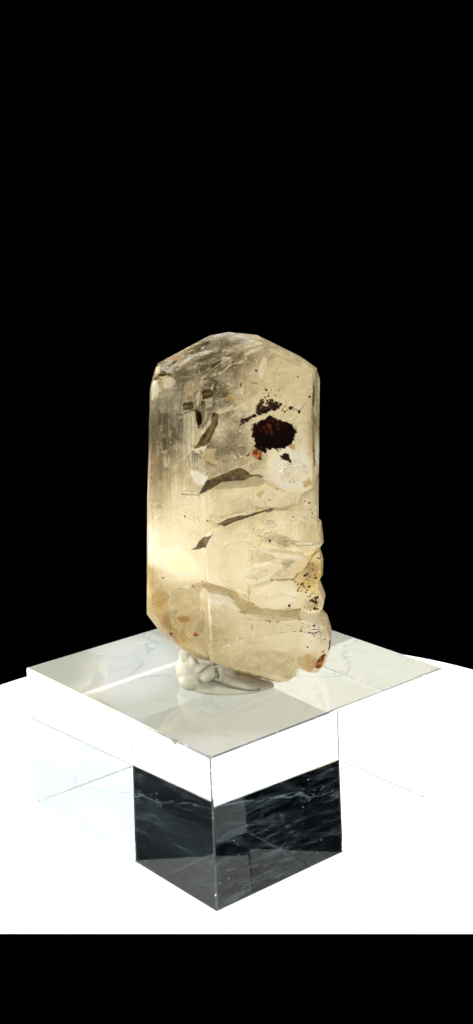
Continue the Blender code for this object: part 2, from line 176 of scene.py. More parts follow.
# %% The tree of nodes
class Tree:
    """One material under construction. Its places are in mm, and heights start at the block's top."""

    def __init__(self, name):
        self.material = bpy.data.materials.new(name)
        self.material.use_nodes = True
        self.nodes = self.material.node_tree.nodes
        self.links = self.material.node_tree.links
        self.nodes.clear()
        self.out = self.node("ShaderNodeOutputMaterial")
        where = self.node("ShaderNodeTexCoord").outputs["Object"]
        to_mm = {"Vector": where, "Location": (0, 0, -BLOCK_TOP / MM), "Scale": (1 / MM,) * 3}
        self.place = self.node("ShaderNodeMapping", None, to_mm).outputs[0]

    def node(self, kind, settings=None, values=None):
        """Any node: its settings first, then its sockets' values or links, by name or in order."""
        made = self.nodes.new(kind)
        for name, setting in (settings or {}).items():
            if name == "stops":
                self._set_stops(made.color_ramp, setting)
            else:
                setattr(made, name, setting)
        pairs = enumerate(values) if isinstance(values, list) else (values or {}).items()
        for key, value in pairs:
            self._fill(made.inputs[key], value)
        return made

    def _fill(self, socket, value):
        source = value.socket if isinstance(value, Number) else value
        if isinstance(source, bpy.types.NodeSocket):
            self.links.new(source, socket)
        elif socket.type == "RGBA" and len(source) == 3:
            socket.default_value = (*source, 1.0)
        else:
            socket.default_value = source

    @staticmethod
    def _set_stops(ramp, stops):
        while len(ramp.elements) < len(stops):
            ramp.elements.new(1.0)
        for element, (position, colour) in zip(ramp.elements, stops):
            element.position = position
            element.color = (*colour, 1.0)

    def vector(self, operation, *values):
        """A sum with vectors."""
        return self.node("ShaderNodeVectorMath", {"operation": operation}, list(values)).outputs[0]

    def length(self, vector):
        """How long a vector is, as a number."""
        made = self.node("ShaderNodeVectorMath", {"operation": "LENGTH"}, [vector])
        return Number(self, made.outputs["Value"])

    def mixed(self, share, first, second, blend="MIX"):
        """Two colours mixed."""
        settings = {"data_type": "RGBA", "blend_type": blend, "clamp_factor": True}
        made = self.node("ShaderNodeMix", settings, {0: share, 6: first, 7: second})
        return made.outputs[2]

    def blended(self, share, first, second):
        """Two shaders mixed."""
        made = self.node("ShaderNodeMixShader", None, [share, first, second])
        return made.outputs[0]

    def bump(self, height, depth, strength):
        """Fine relief of that depth, as a normal."""
        values = {"Height": height, "Distance": depth, "Strength": strength}
        return self.node("ShaderNodeBump", None, values).outputs[0]

    def surface(self, **values):
        """A Principled surface. Socket names are written with underscores."""
        named = {key.replace("_", " "): value for key, value in values.items()}
        return self.node("ShaderNodeBsdfPrincipled", None, named).outputs[0]

    def lit_through(self, **values):
        """A surface that glows with the light behind it."""
        return self.node("ShaderNodeBsdfTranslucent", None, values).outputs[0]

    def tinted_inside(self, colour, density):
        """What the stuff inside takes from the light: its colour, and how much of it per metre."""
        values = {"Color": colour, "Density": density}
        return self.node("ShaderNodeVolumeAbsorption", None, values).outputs[0]

    def wear(self, shader, volume=None):
        """Join the surface and the inside to the output, and hand the material over."""
        self.links.new(shader, self.out.inputs["Surface"])
        if volume is not None:
            self.links.new(volume, self.out.inputs["Volume"])
        return self.material


print("a tree can make", len([name for name in vars(Tree) if not name.startswith("_")]), "kinds of thing")


# %% [markdown]
# ## Patterns in real millimetres
#
# Stone, putty and worn plastic are cloudy, streaky, cracked or specked. An image could hold that, but
# it would need a flat map of each piece and would blur when seen close. These patterns are worked out
# at every point instead. Each takes its size in millimetres, so that a grain of iron and a scratch
# keep their real scale, and most can be stretched along an axis.

# %% Patterns
class Finish(Tree):
    """A tree with this lesson's patterns."""

    def scaled(self, size, stretch, shift, at):
        """The place, scaled so that a pattern's unit is size mm, longer along each stretched axis."""
        scale = [1 / (size * longer) for longer in stretch]
        values = {"Vector": at or self.place, "Scale": scale, "Location": shift}
        return self.node("ShaderNodeMapping", None, values).outputs[0]

    def noise(self, size, detail=4.0, rough=0.55, stretch=(1, 1, 1), shift=(0, 0, 0), warp=0.0, at=None):
        """Cloudy noise, 0 to 1. size is its largest lumps' size in mm; stretch makes them longer."""
        values = {"Vector": self.scaled(size, stretch, shift, at), "Scale": 1.0, "Detail": detail,
                  "Roughness": rough, "Distortion": warp}
        return Number(self, self.node("ShaderNodeTexNoise", None, values).outputs["Fac"])

    def cells(self, size, feature="F1", stretch=(1, 1, 1), shift=(0, 0, 0), at=None, output="Distance"):
        """Voronoi cells of about that size: the distance to their middle or edge, or their tone."""
        values = {"Vector": self.scaled(size, stretch, shift, at), "Scale": 1.0}
        made = self.node("ShaderNodeTexVoronoi", {"feature": feature}, values)
        return Number(self, made.outputs[output])

    def tones(self, size, **how):
        """Voronoi cells, each with one tone of its own, from -0.5 to 0.5."""
        return self.cells(size, output="Color", **how) - 0.5

    def stirred(self, size, amount, at=None):
        """The place, pushed about by cloudy noise, so that a pattern there wanders."""
        values = {"Vector": at or self.place, "Scale": 1 / size, "Detail": 3.0}
        cloud = self.node("ShaderNodeTexNoise", None, values).outputs["Color"]
        push = self.vector("MULTIPLY", self.vector("SUBTRACT", cloud, (0.5,) * 3), (amount,) * 3)
        return self.vector("ADD", at or self.place, push)

    def turned(self, angle, at=None, axis="Y"):
        """The place, turned about an axis through the block's top."""
        values = {"Vector": at or self.place, "Angle": math.radians(angle)}
        return self.node("ShaderNodeVectorRotate", {"rotation_type": axis + "_AXIS"}, values).outputs[0]

    def axis(self, index, at=None):
        """One coordinate of the surface point, in mm."""
        split = self.node("ShaderNodeSeparateXYZ", None, {"Vector": at or self.place})
        return Number(self, split.outputs[index])

    def painted(self, name):
        """A value painted on the mesh's points."""
        made = self.node("ShaderNodeAttribute", {"attribute_name": name})
        return Number(self, made.outputs["Fac"])

    def blob(self, centre, radii, turn=0.0):
        """The distance from a blob's centre, where 1 is its edge."""
        values = {"Vector": self.place, "Location": centre, "Rotation": (0, turn, 0), "Scale": radii}
        local = self.node("ShaderNodeMapping", {"vector_type": "TEXTURE"}, values).outputs[0]
        return self.length(local)


print("finishes know", len([name for name in vars(Finish) if not name.startswith("_")]), "patterns")


# %% [markdown]
# ## The stage
#
# Clear stone shows what is around it, so the stage does half the work: a dark room behind, and a
# round white light table below. Soft panels at both sides and above are seen only in what the
# crystal and the block reflect and refract. A front fill and a glow from behind stay out of that:
# they only add light. A ready-made surround could light the scene too, but here each lamp can be
# moved and dimmed alone.

# %% The light table
TABLE_RADIUS = 74 * MM
TABLE_MIDDLE = Vector((0.4, 7.0, -0.25)) * MM
TABLE_FRONT = Vector((-0.4, -41.5, -0.25)) * MM
TABLE_SKEW = math.radians(-3.5)


def unselect():
    """Leave edit mode, with nothing selected."""
    if bpy.context.object and bpy.context.object.mode != "OBJECT":
        bpy.ops.object.mode_set(mode="OBJECT")
    bpy.ops.object.select_all(action="DESELECT")


def pick(piece):
    """Select one piece alone and make it the active one."""
    unselect()
    piece.select_set(True)
    bpy.context.view_layer.objects.active = piece


def edit_all():
    """Enter edit mode with the whole mesh selected."""
    bpy.ops.object.mode_set(mode="EDIT")
    bpy.ops.mesh.select_all(action="SELECT")


def light_table():
    """A round sheet of lit white glass, cut straight along the front."""
    unselect()
    bpy.ops.mesh.primitive_circle_add(vertices=160, radius=TABLE_RADIUS, fill_type="NGON",
                                      location=TABLE_MIDDLE)
    table = bpy.context.object
    table.name = "light_table"
    bpy.ops.object.transform_apply(location=True)
    edit_all()
    across = Vector((math.sin(TABLE_SKEW), -math.cos(TABLE_SKEW), 0))
    bpy.ops.mesh.bisect(plane_co=TABLE_FRONT, plane_no=across, clear_outer=True)
    bpy.ops.object.mode_set(mode="OBJECT")
    look = Finish("white light table")
    white = look.surface(Base_Color=(0.3, 0.3, 0.3), Roughness=0.7, Emission_Color=(1, 1, 1),
                         Emission_Strength=0.95)
    table.data.materials.append(look.wear(white))
    table.visible_glossy = False
    return table


light_table()
print("light table, radius", round(TABLE_RADIUS / MM), "mm")


# %% The lamps and the dark room
def panel(name, place, aim, size, power, tint=(1, 1, 1)):
    """A soft lamp at a place in mm, aimed at another, of a size in metres and a power in watts."""
    lamp = bpy.data.lights.new(name, "AREA")
    lamp.shape = "RECTANGLE"
    lamp.size, lamp.size_y = size
    lamp.energy = power
    lamp.color = tint
    holder = bpy.data.objects.new(name, lamp)
    bpy.context.scene.collection.objects.link(holder)
    facing = (Vector(aim) - Vector(place)).to_track_quat("-Z", "Y")
    holder.matrix_world = Matrix.Translation(Vector(place) * MM) @ facing.to_matrix().to_4x4()
    holder.visible_camera = False
    return holder


panel("right panel", (330, -20, 90), (0, 0, 50), (0.36, 0.36), 0.6, (0.86, 0.95, 1.0))
panel("left panel", (-330, 20, 90), (0, 0, 50), (0.36, 0.36), 1.5, (1.0, 0.98, 0.94))
panel("top panel", (20, 60, 380), (0, 0, 50), (0.22, 0.22), 0.4)
fill = panel("front fill", (-40, -420, 230), (0, 0, 50), (0.35, 0.25), 1.85)
glow = panel("back glow", (-160, 300, 160), (0, 0, 55), (0.3, 0.3), 6.5)
for lamp in (fill, glow):
    lamp.visible_transmission = False
    lamp.visible_glossy = False

room = bpy.data.worlds.new("dark room")
room.use_nodes = True
room.node_tree.nodes["Background"].inputs["Color"].default_value = (0.0, 0.0, 0.0, 1.0)
bpy.context.scene.world = room
bpy.context.scene.view_settings.view_transform = "Standard"


# %% [markdown]
# ## The acrylic block
#
# The block is one piece of cast acrylic, sawn, bevelled and polished. The packed solid has its shape
# and its chipped edges, so it stays and only gets a finish: clear plastic by plain transmission, with
# its own refractive index and a faint tint that deepens with the path through it. It could be left
# perfectly clean, but clear plastic looks real by its wear: dust and scratches under it, which show
# against the dark seen through it, finger marks on its sides, and saw marks that frost its bevels.

# %% Wear on the block
ACRYLIC_IOR = 1.49
ACRYLIC_TINT = (0.97, 0.975, 0.95)
ACRYLIC_DENSITY = 22.0


def underside_wear(look, level):
    """Dust, scratches and one long rub on the face that the block stands on."""
    ground = look.turned(-BLOCK_TURN, axis="Z")
    hairs = look.noise(5.0, detail=8, rough=0.8, stretch=(1.0, 3.0, 1.0), at=ground).ramp(0.52, 0.72)
    smears = look.noise(12.0, detail=6, rough=0.7, warp=1.0, at=ground).ramp(0.52, 0.68)
    wander = look.axis(1) + (look.noise(13.0, detail=4, rough=0.6) - 0.5) * 26
    rub = (wander - 16).thin_line(1.2) * look.noise(4.0, detail=4).ramp(0.35, 0.6)
    specks = look.cells(2.6, at=ground).ramp(0.12, 0.05) * look.noise(7.0, detail=2).ramp(0.50, 0.56)
    return (hairs * 0.10 + smears * 0.10 + rub * 0.3 + specks * 0.7) * level.ramp(0.3, 0.1)


def side_wear(look, level, left, right):
    """A thin veil, grazes, smudges and motes on the two sides in front. The veil, far heavier on the left,
    also paints that side lighter: painted light.
    """
    veil_and_light = look.noise(9.0, detail=5, rough=0.6, stretch=(1.5, 1.5, 0.5)).ramp(0.2, 0.8, 0.5, 1.5)
    grazes = look.noise(4.0, detail=9, rough=0.8, stretch=(2.5, 2.5, 0.35), warp=0.3).ramp(0.50, 0.72)
    some = look.noise(6.0, detail=2, shift=(3, 0, 0)).ramp(0.5, 0.56)
    motes = look.cells(2.3, stretch=(1, 1, 0.6)).ramp(0.09, 0.04) * some
    smudge = look.noise(6.0, detail=6, rough=0.65, stretch=(2.0, 2.0, 0.5), shift=(1, 5, 2))
    smudge = smudge.ramp(0.60, 0.74)
    rubbed = (grazes * 0.09 + smudge * 0.08 + motes * 0.35) * (left * 0.4 + right) * level.ramp(24.5, 19.0)
    # The veil is far heavier on the left side, so it also paints that side lighter, as painted light.
    return (veil_and_light * (left * 0.022 + right * 0.002) + rubbed) * level.ramp(4.5, 8.0, 0.2, 1.0)


print("wear on an acrylic block of index", ACRYLIC_IOR)


# %% Acrylic
def acrylic():
    look = Finish("polished acrylic")
    level = look.axis(2) + BLOCK_TOP / MM
    facing = look.vector("NORMALIZE", look.node("ShaderNodeTexCoord").outputs["Normal"])
    own = look.turned(-BLOCK_TURN, facing, "Z")
    across, deep, up = [look.axis(index, own) for index in range(3)]
    bevel = (across * across).most(deep * deep).most(up * up).ramp(0.985, 0.93)
    left, right = across.ramp(-0.9, -0.97), deep.ramp(-0.9, -0.97)
    haze = (underside_wear(look, level) + side_wear(look, level, left, right)).clamped()
    # Painted light and shade on the top face: its clear surface is tinted grey, as painted shade, except
    # in two painted pools of light, where it is left clear.
    light_pools = look.blob((-18.0, 2.0, 0.0), (9.5, 17.0, 9.0)).ramp(1.1, 0.6)
    light_pools = light_pools.most(look.blob((-1.0, -35.0, 0.0), (16.0, 9.0, 9.0)).ramp(1.1, 0.5))
    shaded_top = look.mixed(up.ramp(0.9, 0.97) * (light_pools * -0.85 + 1), (1, 1, 1), (0.66, 0.66, 0.56))
    clear = look.surface(Base_Color=shaded_top, Roughness=0.0, IOR=ACRYLIC_IOR, Transmission_Weight=1.0)
    cloudy = look.blended(0.5, look.surface(Base_Color=(0.44, 0.58, 0.68), Roughness=0.6),
                          look.lit_through(Color=(0.48, 0.66, 0.76)))
    bent = {"Color": (1, 1, 1), "IOR": 1.0, "Roughness": 0.1}
    sawn = look.blended(0.65, look.surface(Base_Color=(0.9, 0.92, 0.9), Roughness=0.5),
                        look.node("ShaderNodeBsdfRefraction", None, bent).outputs[0])
    sawn_share = bevel * ((up * up).ramp(0.05, 0.25) * 0.6 + 0.3)
    polished = look.blended(haze, clear, cloudy)
    return look.wear(look.blended(sawn_share, polished, sawn),
                     look.tinted_inside(ACRYLIC_TINT, ACRYLIC_DENSITY))


block = frame["nodes"]["acrylic_block"]
block.data.materials.clear()
block.data.materials.append(acrylic())
print("block finished with", len(block.data.materials[0].node_tree.nodes), "nodes")


# %% [markdown]
# ## The crystal
#
# The real crystal is one solid: individuals that grew fused together, with stepped plates, growth
# ridges and pits. The packed solid holds those forms. Facets that stand a tenth of a millimetre proud,
# cracks and stains are too fine for it, so the lesson takes a copy of its mesh, makes that finer, and
# shapes and paints it. A copy, because the packed solid itself stays as it is.

# %% A copy of a packed solid
MERGED = 0.002 * MM  # points closer than this are one


def copy_of(node, name):
    """A copy of a CAD node's mesh as a new piece, its loose triangles merged."""
    piece = bpy.data.objects.new(name, frame["nodes"][node].data.copy())
    bpy.context.scene.collection.objects.link(piece)
    pick(piece)
    edit_all()
    bpy.ops.mesh.remove_doubles(threshold=MERGED)
    bpy.ops.object.mode_set(mode="OBJECT")
    piece.data.materials.clear()
    return piece


crystal = copy_of("gwindel_quartz", "crystal")
print("crystal copied:", len(crystal.data.polygons), "triangles")


# %% [markdown]
# ## Facets, drawn by hand
#
# No pattern could place this crystal's facets, so they are drawn, as a miniature painter would mask
# them. An outline is a list of (x, h) in mm, h above the block's top. After it come the facet's tone,
# the painted light and shade of what the facet refracts, from -1, which shows the dark behind, to 1,
# frosted white, its warmth from -1, bluish, to 1, rusty, and how far it stands out of the face. A later
# facet lies over an earlier one.

# %% The crown: slanting panes, dark and pale in turn
CROWN_FACETS = [
    ([(-10.6, 52.4), (-4.8, 56.6), (4.0, 58.2), (6.6, 56.6), (4.0, 51.0), (-3.0, 49.0), (-9.6, 51.0)],
      -0.35, 0.0, 0.0),
    ([(-4.6, 54.2), (-2.3, 54.8), (3.1, 55.0), (2.4, 54.3), (-1.1, 54.0), (-2.8, 53.3), (-4.6, 53.5)],
      -0.55, 0.1, -0.1),
    ([(-7.8, 52.2), (-5.7, 52.5), (-2.7, 52.5), (-2.7, 52.0), (-5.0, 51.4), (-6.6, 51.3)], -0.65, 0.1,
      -0.1),
    ([(-6.8, 53.0), (-4.9, 54.5), (-2.5, 55.1), (-1.2, 55.2), (-2.8, 54.5), (-4.6, 54.0), (-6.4, 52.7)],
      0.25, -0.3, 0.1),
    ([(-9.6, 53.0), (-7.2, 54.2), (-4.8, 55.7), (-2.3, 56.5), (-2.0, 56.0), (-4.1, 55.4), (-6.2, 54.4),
      (-8.5, 53.4)], -0.45, 0.6, 0.0),
    ([(3.4, 55.2), (5.0, 55.3), (5.2, 54.2), (5.8, 53.7), (4.9, 53.0), (4.1, 54.3)], -0.45, 0.1, -0.05),
    ([(1.7, 53.1), (3.3, 53.0), (3.2, 51.0), (2.0, 51.2)], -0.6, 0.1, -0.1),
    ([(-1.4, 53.3), (0.0, 53.9), (0.2, 52.9), (-1.0, 52.3), (-1.6, 52.5)], -0.75, 0.4, -0.1),
    ([(0.3, 54.3), (1.8, 54.1), (1.6, 53.3), (0.2, 52.7)], 0.1, 0.3, 0.1),
    ([(-0.5, 51.8), (1.6, 53.3), (1.7, 53.0), (-0.4, 51.6)], 0.6, 0.0, 0.1),
    ([(6.5, 54.2), (6.8, 54.7), (7.4, 54.0), (7.2, 52.8), (6.4, 51.1), (5.9, 51.1), (6.1, 52.6)], 0.35,
      0.0, 0.05),
]
print(len(CROWN_FACETS), "facets in the crown")

# %% The left column, and the panes over the darkest ledge
COLUMN_FACETS = [
    ([(-11.3, 49.8), (-10.8, 50.7), (-10.3, 50.4), (-9.8, 49.3), (-10.2, 48.4), (-11.4, 47.6)], 0.6, 0.0,
      0.1),
    ([(-10.6, 51.0), (-10.5, 52.3), (-9.8, 52.9), (-9.8, 52.2), (-10.3, 51.3)], 0.25, 0.0, 0.0),
    ([(-9.5, 51.0), (-8.1, 51.4), (-7.2, 50.6), (-8.1, 49.5), (-9.3, 49.5)], 0.35, 0.0, 0.05),
    ([(-9.8, 49.3), (-6.6, 49.6), (-6.5, 45.7), (-7.4, 45.5), (-10.0, 45.7)], -0.2, -0.5, 0.0),
    ([(-8.4, 44.9), (-6.2, 44.7), (-6.0, 40.4), (-7.0, 40.5), (-8.2, 42.9)], -0.55, -0.5, -0.05),
    ([(-10.5, 43.8), (-8.4, 43.9), (-8.4, 41.2), (-9.0, 39.4), (-10.6, 39.2)], -0.5, 0.25, 0.0),
    ([(-10.2, 41.5), (-9.2, 41.3), (-8.6, 40.4), (-8.8, 39.5), (-9.9, 39.7)], -0.8, 0.2, -0.05),
    ([(-6.0, 50.3), (-4.5, 50.7), (-4.2, 49.5), (-4.5, 47.3), (-6.1, 47.1)], -0.1, 0.45, 0.1),
    ([(-4.2, 48.2), (-3.8, 48.9), (-3.5, 48.9), (-3.5, 47.7), (-4.1, 46.4)], 0.5, 0.0, 0.1),
    ([(-5.7, 45.5), (-4.4, 45.6), (-4.3, 43.5), (-5.3, 42.9)], 0.35, 0.0, 0.1),
    ([(-2.9, 47.7), (-1.4, 48.1), (-1.5, 46.4), (-2.6, 46.2)], 0.3, 0.0, 0.1),
    ([(-1.1, 48.0), (1.7, 48.3), (2.2, 47.0), (0.9, 46.0), (-0.6, 45.9)], -0.2, -0.5, 0.0),
    ([(-6.7, 39.2), (-4.6, 39.6), (-3.4, 38.7), (-2.8, 37.7), (-2.8, 35.4), (-4.4, 36.7), (-5.7, 37.0),
      (-6.8, 37.9)], -0.25, -0.9, 0.0),
    ([(-5.7, 36.5), (-4.6, 36.4), (-3.5, 36.0), (-2.9, 35.3), (-3.5, 34.2), (-4.3, 34.0), (-5.1, 35.1)],
      0.9, -0.2, 0.0),
    ([(-3.3, 39.6), (-2.3, 40.2), (-1.2, 40.1), (-1.4, 38.6), (-0.9, 37.3), (-2.3, 37.8), (-3.2, 38.5)],
      0.0, 0.5, 0.15),
    ([(-4.8, 39.7), (-2.5, 40.8), (-3.2, 39.8), (-4.3, 39.4)], 0.7, 0.0, 0.1),
    ([(-2.7, 38.0), (-0.9, 37.0), (-1.2, 35.5), (-2.7, 35.2)], -0.45, 0.1, -0.1),
    ([(1.9, 40.6), (3.4, 40.5), (3.6, 38.9), (2.5, 38.8)], -0.45, 0.1, -0.1),
    ([(-0.8, 37.9), (2.5, 38.0), (4.4, 37.3), (3.4, 36.7), (1.2, 36.7), (-0.9, 36.0)], -0.4, 0.0, 0.05),
]
print(len(COLUMN_FACETS), "facets in the left column")

# %% Between the ledges
MIDDLE_FACETS = [
    ([(2.3, 31.9), (4.2, 31.0), (6.8, 29.8), (4.8, 29.2), (0.9, 28.9), (0.4, 30.7)], -0.12, -0.1, -0.1),
    ([(-6.7, 31.9), (-2.7, 31.9), (-1.9, 30.8), (-2.7, 28.0), (-5.6, 27.7), (-6.9, 28.4)], 0.25, -0.1,
      0.0),
    ([(12.3, 34.1), (13.5, 35.0), (13.9, 34.0), (13.4, 33.4), (12.6, 33.2)], -0.3, 0.6, 0.0),
    ([(4.7, 32.2), (5.9, 33.0), (6.2, 32.5), (5.5, 31.7)], -0.3, 0.9, 0.0),
    ([(6.4, 27.8), (7.4, 27.8), (8.3, 27.1), (7.6, 26.5), (6.5, 26.7)], -0.35, 0.1, -0.1),
    ([(6.0, 25.6), (7.6, 26.0), (10.5, 24.7), (11.8, 24.1), (9.4, 22.8), (7.9, 24.2), (6.1, 25.0)],
      -0.35, 0.15, -0.1),
    ([(11.9, 27.8), (15.4, 26.3), (15.7, 24.8), (15.5, 23.4), (12.1, 24.4), (11.2, 25.9)], -0.05, 0.25,
      0.05),
    ([(5.6, 23.0), (7.3, 23.0), (9.1, 22.7), (13.5, 21.2), (10.1, 21.5), (8.3, 21.7), (6.5, 22.5)], 0.5,
      0.0, 0.1),
    ([(11.2, 23.2), (13.4, 23.9), (14.9, 23.9), (15.0, 22.7), (13.8, 22.1), (12.2, 22.4)], 0.5, 0.0,
      0.1),
    ([(3.1, 25.3), (5.0, 25.9), (6.3, 24.7), (7.9, 23.2), (5.9, 23.1), (4.0, 23.4), (3.2, 24.3)], 0.2,
      0.0, 0.1),
    ([(3.7, 23.3), (5.6, 22.9), (8.5, 21.5), (6.8, 21.2), (4.9, 21.1), (3.6, 20.6)], -0.25, 0.1, -0.1),
    ([(8.6, 21.2), (11.1, 21.2), (10.1, 20.1), (9.2, 19.7), (8.6, 20.3)], -0.35, 0.0, -0.1),
    ([(2.1, 18.9), (3.1, 20.0), (4.1, 20.6), (6.8, 21.1), (5.5, 19.9), (4.3, 19.3), (3.0, 18.7)], 0.5,
      -0.1, 0.1),
    ([(3.0, 18.6), (4.5, 19.2), (6.1, 20.3), (6.8, 19.6), (5.5, 18.7), (3.8, 18.3)], -0.15, -0.1, 0.0),
    ([(3.8, 18.1), (5.5, 18.5), (8.3, 20.3), (7.1, 18.7), (5.9, 18.1), (4.3, 17.8)], 0.5, -0.1, 0.1),
    ([(11.9, 18.5), (13.6, 20.0), (14.7, 20.5), (15.5, 19.6), (15.5, 17.0), (13.0, 17.0), (12.0, 17.7)],
      0.05, 0.9, 0.0),
]
print(len(MIDDLE_FACETS), "facets between the ledges")

# %% The long curved ledge and the bright step under it, then the foot, and panes of ochre film
FOOT_FACETS = [
    ([(-2.7, 17.8), (0.2, 17.0), (2.0, 15.6), (3.1, 14.3), (3.5, 16.2), (1.0, 17.4)], 0.4, 0.0, 0.0),
    ([(3.1, 15.8), (5.8, 16.1), (6.7, 14.5), (5.3, 13.3), (4.1, 13.4), (3.1, 14.3)], 0.35, 0.0, 0.05),
    ([(-8.8, 16.6), (-4.8, 16.7), (-4.7, 14.9), (-5.1, 10.4), (-6.6, 8.0), (-8.7, 8.9), (-10.2, 12.4),
      (-10.0, 15.4)], -0.18, 0.15, 0.0),
    ([(-6.0, 16.9), (-4.2, 17.4), (-2.7, 17.3), (0.2, 16.7), (1.8, 14.6), (2.9, 14.1), (3.9, 13.5),
      (5.3, 13.1), (11.6, 12.0), (11.4, 11.5), (7.8, 11.4), (5.2, 11.9), (3.3, 12.7), (1.8, 13.3),
      (0.5, 15.3), (-0.1, 16.0), (-3.7, 16.8), (-4.6, 15.9)], -0.22, 0.15, -0.05),
    ([(-4.6, 14.9), (-4.2, 16.0), (-3.6, 16.8), (-0.1, 16.0), (1.7, 13.4), (-0.2, 14.4), (-2.3, 15.1)],
      0.5, 0.0, -0.15),
    ([(14.3, 49.2), (15.0, 51.3), (15.3, 51.4), (15.5, 46.6), (15.0, 40.3), (14.7, 36.0), (14.3, 36.3),
      (14.0, 44.9)], -0.5, 0.1, 0.0),
    ([(4.1, 6.6), (7.2, 6.6), (9.8, 5.1), (10.8, 2.8), (9.8, 0.8), (6.3, 2.0), (4.1, 4.2)], -0.15, 0.05,
      -0.08),
    ([(3.6, 12.1), (4.1, 12.0), (3.9, 9.4), (3.6, 9.4)], 0.2, 0.0, 0.05),
    ([(6.2, 11.6), (11.4, 11.3), (14.0, 10.5), (11.4, 9.4), (8.1, 9.7)], 0.15, 0.0, 0.05),
    ([(-0.6, 3.5), (3.0, 2.4), (8.1, 0.4), (3.2, 1.4), (-0.6, 2.4)], -0.6, 0.3, 0.0),
    ([(-8.8, 11.6), (-7.5, 11.9), (-6.3, 11.1), (-6.7, 10.7), (-8.6, 9.7)], -0.1, 1.0, 0.0),
    ([(-8.1, 8.9), (-7.6, 8.8), (-7.2, 8.5), (-7.8, 6.5), (-8.8, 6.7)], -0.1, 1.0, 0.0),
    ([(-10.8, 9.2), (-9.2, 7.8), (-8.2, 6.1), (-8.4, 4.5), (-9.7, 5.8), (-10.8, 7.2)], -0.45, 1.0, 0.0),
    ([(-11.0, 11.6), (-10.2, 11.2), (-9.5, 9.6), (-10.0, 9.1), (-10.9, 10.5)], -0.5, 1.0, 0.0),
    ([(-13.0, 16.8), (-11.3, 16.4), (-10.4, 13.7), (-11.5, 12.5), (-12.6, 13.7)], 0.0, 0.8, 0.0),
    ([(11.8, 5.2), (13.4, 4.7), (14.3, 3.0), (13.0, 1.7), (11.7, 2.5)], -0.1, 0.7, 0.0),
]
print(len(FOOT_FACETS), "facets from the long ledge down")

# %% Brighter panes beside the darkest blade, which lie over the rest
BLADE_FACETS = [
    ([(-5.3, 45.6), (-3.6, 45.9), (-3.5, 43.0), (-3.0, 42.0), (-4.1, 39.9), (-5.3, 40.7)], 0.45, 0.2,
      0.05),
    ([(-2.6, 45.8), (-1.9, 45.6), (-2.2, 43.6), (-3.1, 42.5), (-3.2, 43.4)], 0.1, 0.0, 0.05),
    ([(0.0, 48.2), (1.4, 48.6), (2.6, 47.8), (2.2, 47.5), (0.5, 47.6)], -0.2, 1.0, 0.0),
]
FACETS = CROWN_FACETS + COLUMN_FACETS + MIDDLE_FACETS + FOOT_FACETS + BLADE_FACETS
print(len(FACETS), "facets in all")


# %% [markdown]
# ## Dark slots, cracks and iron
#
# Some undersides and slots of a stepped crystal show nothing but the dark behind it, so they are painted
# as solid olive or black shade. Cracks are thinner. The iron oxide is a crust of many small grains that
# grew together, with a few that stayed apart, which is why it is drawn as outlines and round grains.

# %% The undersides and slots that show nothing but the dark behind the crystal
DARK_LEDGES = [
    [(-1.8, 45.5), (-0.6, 45.6), (-0.8, 44.0), (-2.2, 41.2), (-4.7, 39.8), (-3.5, 41.8), (-1.9, 43.8)],
    [(-4.0, 40.6), (-2.6, 40.8), (-4.4, 39.7)],
    [(-4.3, 32.2), (-2.9, 35.0), (-0.8, 35.7), (1.2, 36.6), (2.6, 36.9), (3.7, 36.3), (4.3, 35.3), (3.0,
      34.7), (-0.5, 34.5), (-2.6, 32.9)],
    [(-1.5, 27.6), (0.1, 28.4), (2.2, 28.9), (4.2, 28.8), (9.2, 30.0), (7.4, 29.3), (3.5, 28.1), (1.5,
      27.5), (-0.4, 26.7)],
    [(-6.1, 22.9), (-5.1, 23.4), (-4.6, 24.4), (-3.7, 25.1), (-2.7, 25.4), (-1.9, 26.2), (-2.9, 24.8),
      (-3.5, 23.5), (-4.6, 23.0)],
    [(-6.3, 47.1), (-4.5, 47.3), (-4.5, 46.2), (-5.5, 46.1), (-6.3, 46.0)],
    [(-9.8, 51.8), (-9.4, 52.2), (-8.8, 52.0), (-7.8, 51.8), (-8.1, 51.4), (-9.7, 51.2)],
    [(-8.6, 52.7), (-7.6, 53.5), (-6.8, 53.9), (-7.2, 53.3), (-8.1, 52.7)],
    [(-3.2, 47.8), (-3.2, 48.8), (-2.7, 49.3), (-1.9, 49.2), (-1.1, 49.1), (-1.6, 48.4), (-2.5, 48.0)],
    [(14.4, 49.4), (14.8, 49.1), (14.7, 47.0), (14.4, 45.3), (14.2, 47.3)],
]
print(len(DARK_LEDGES), "dark slots")

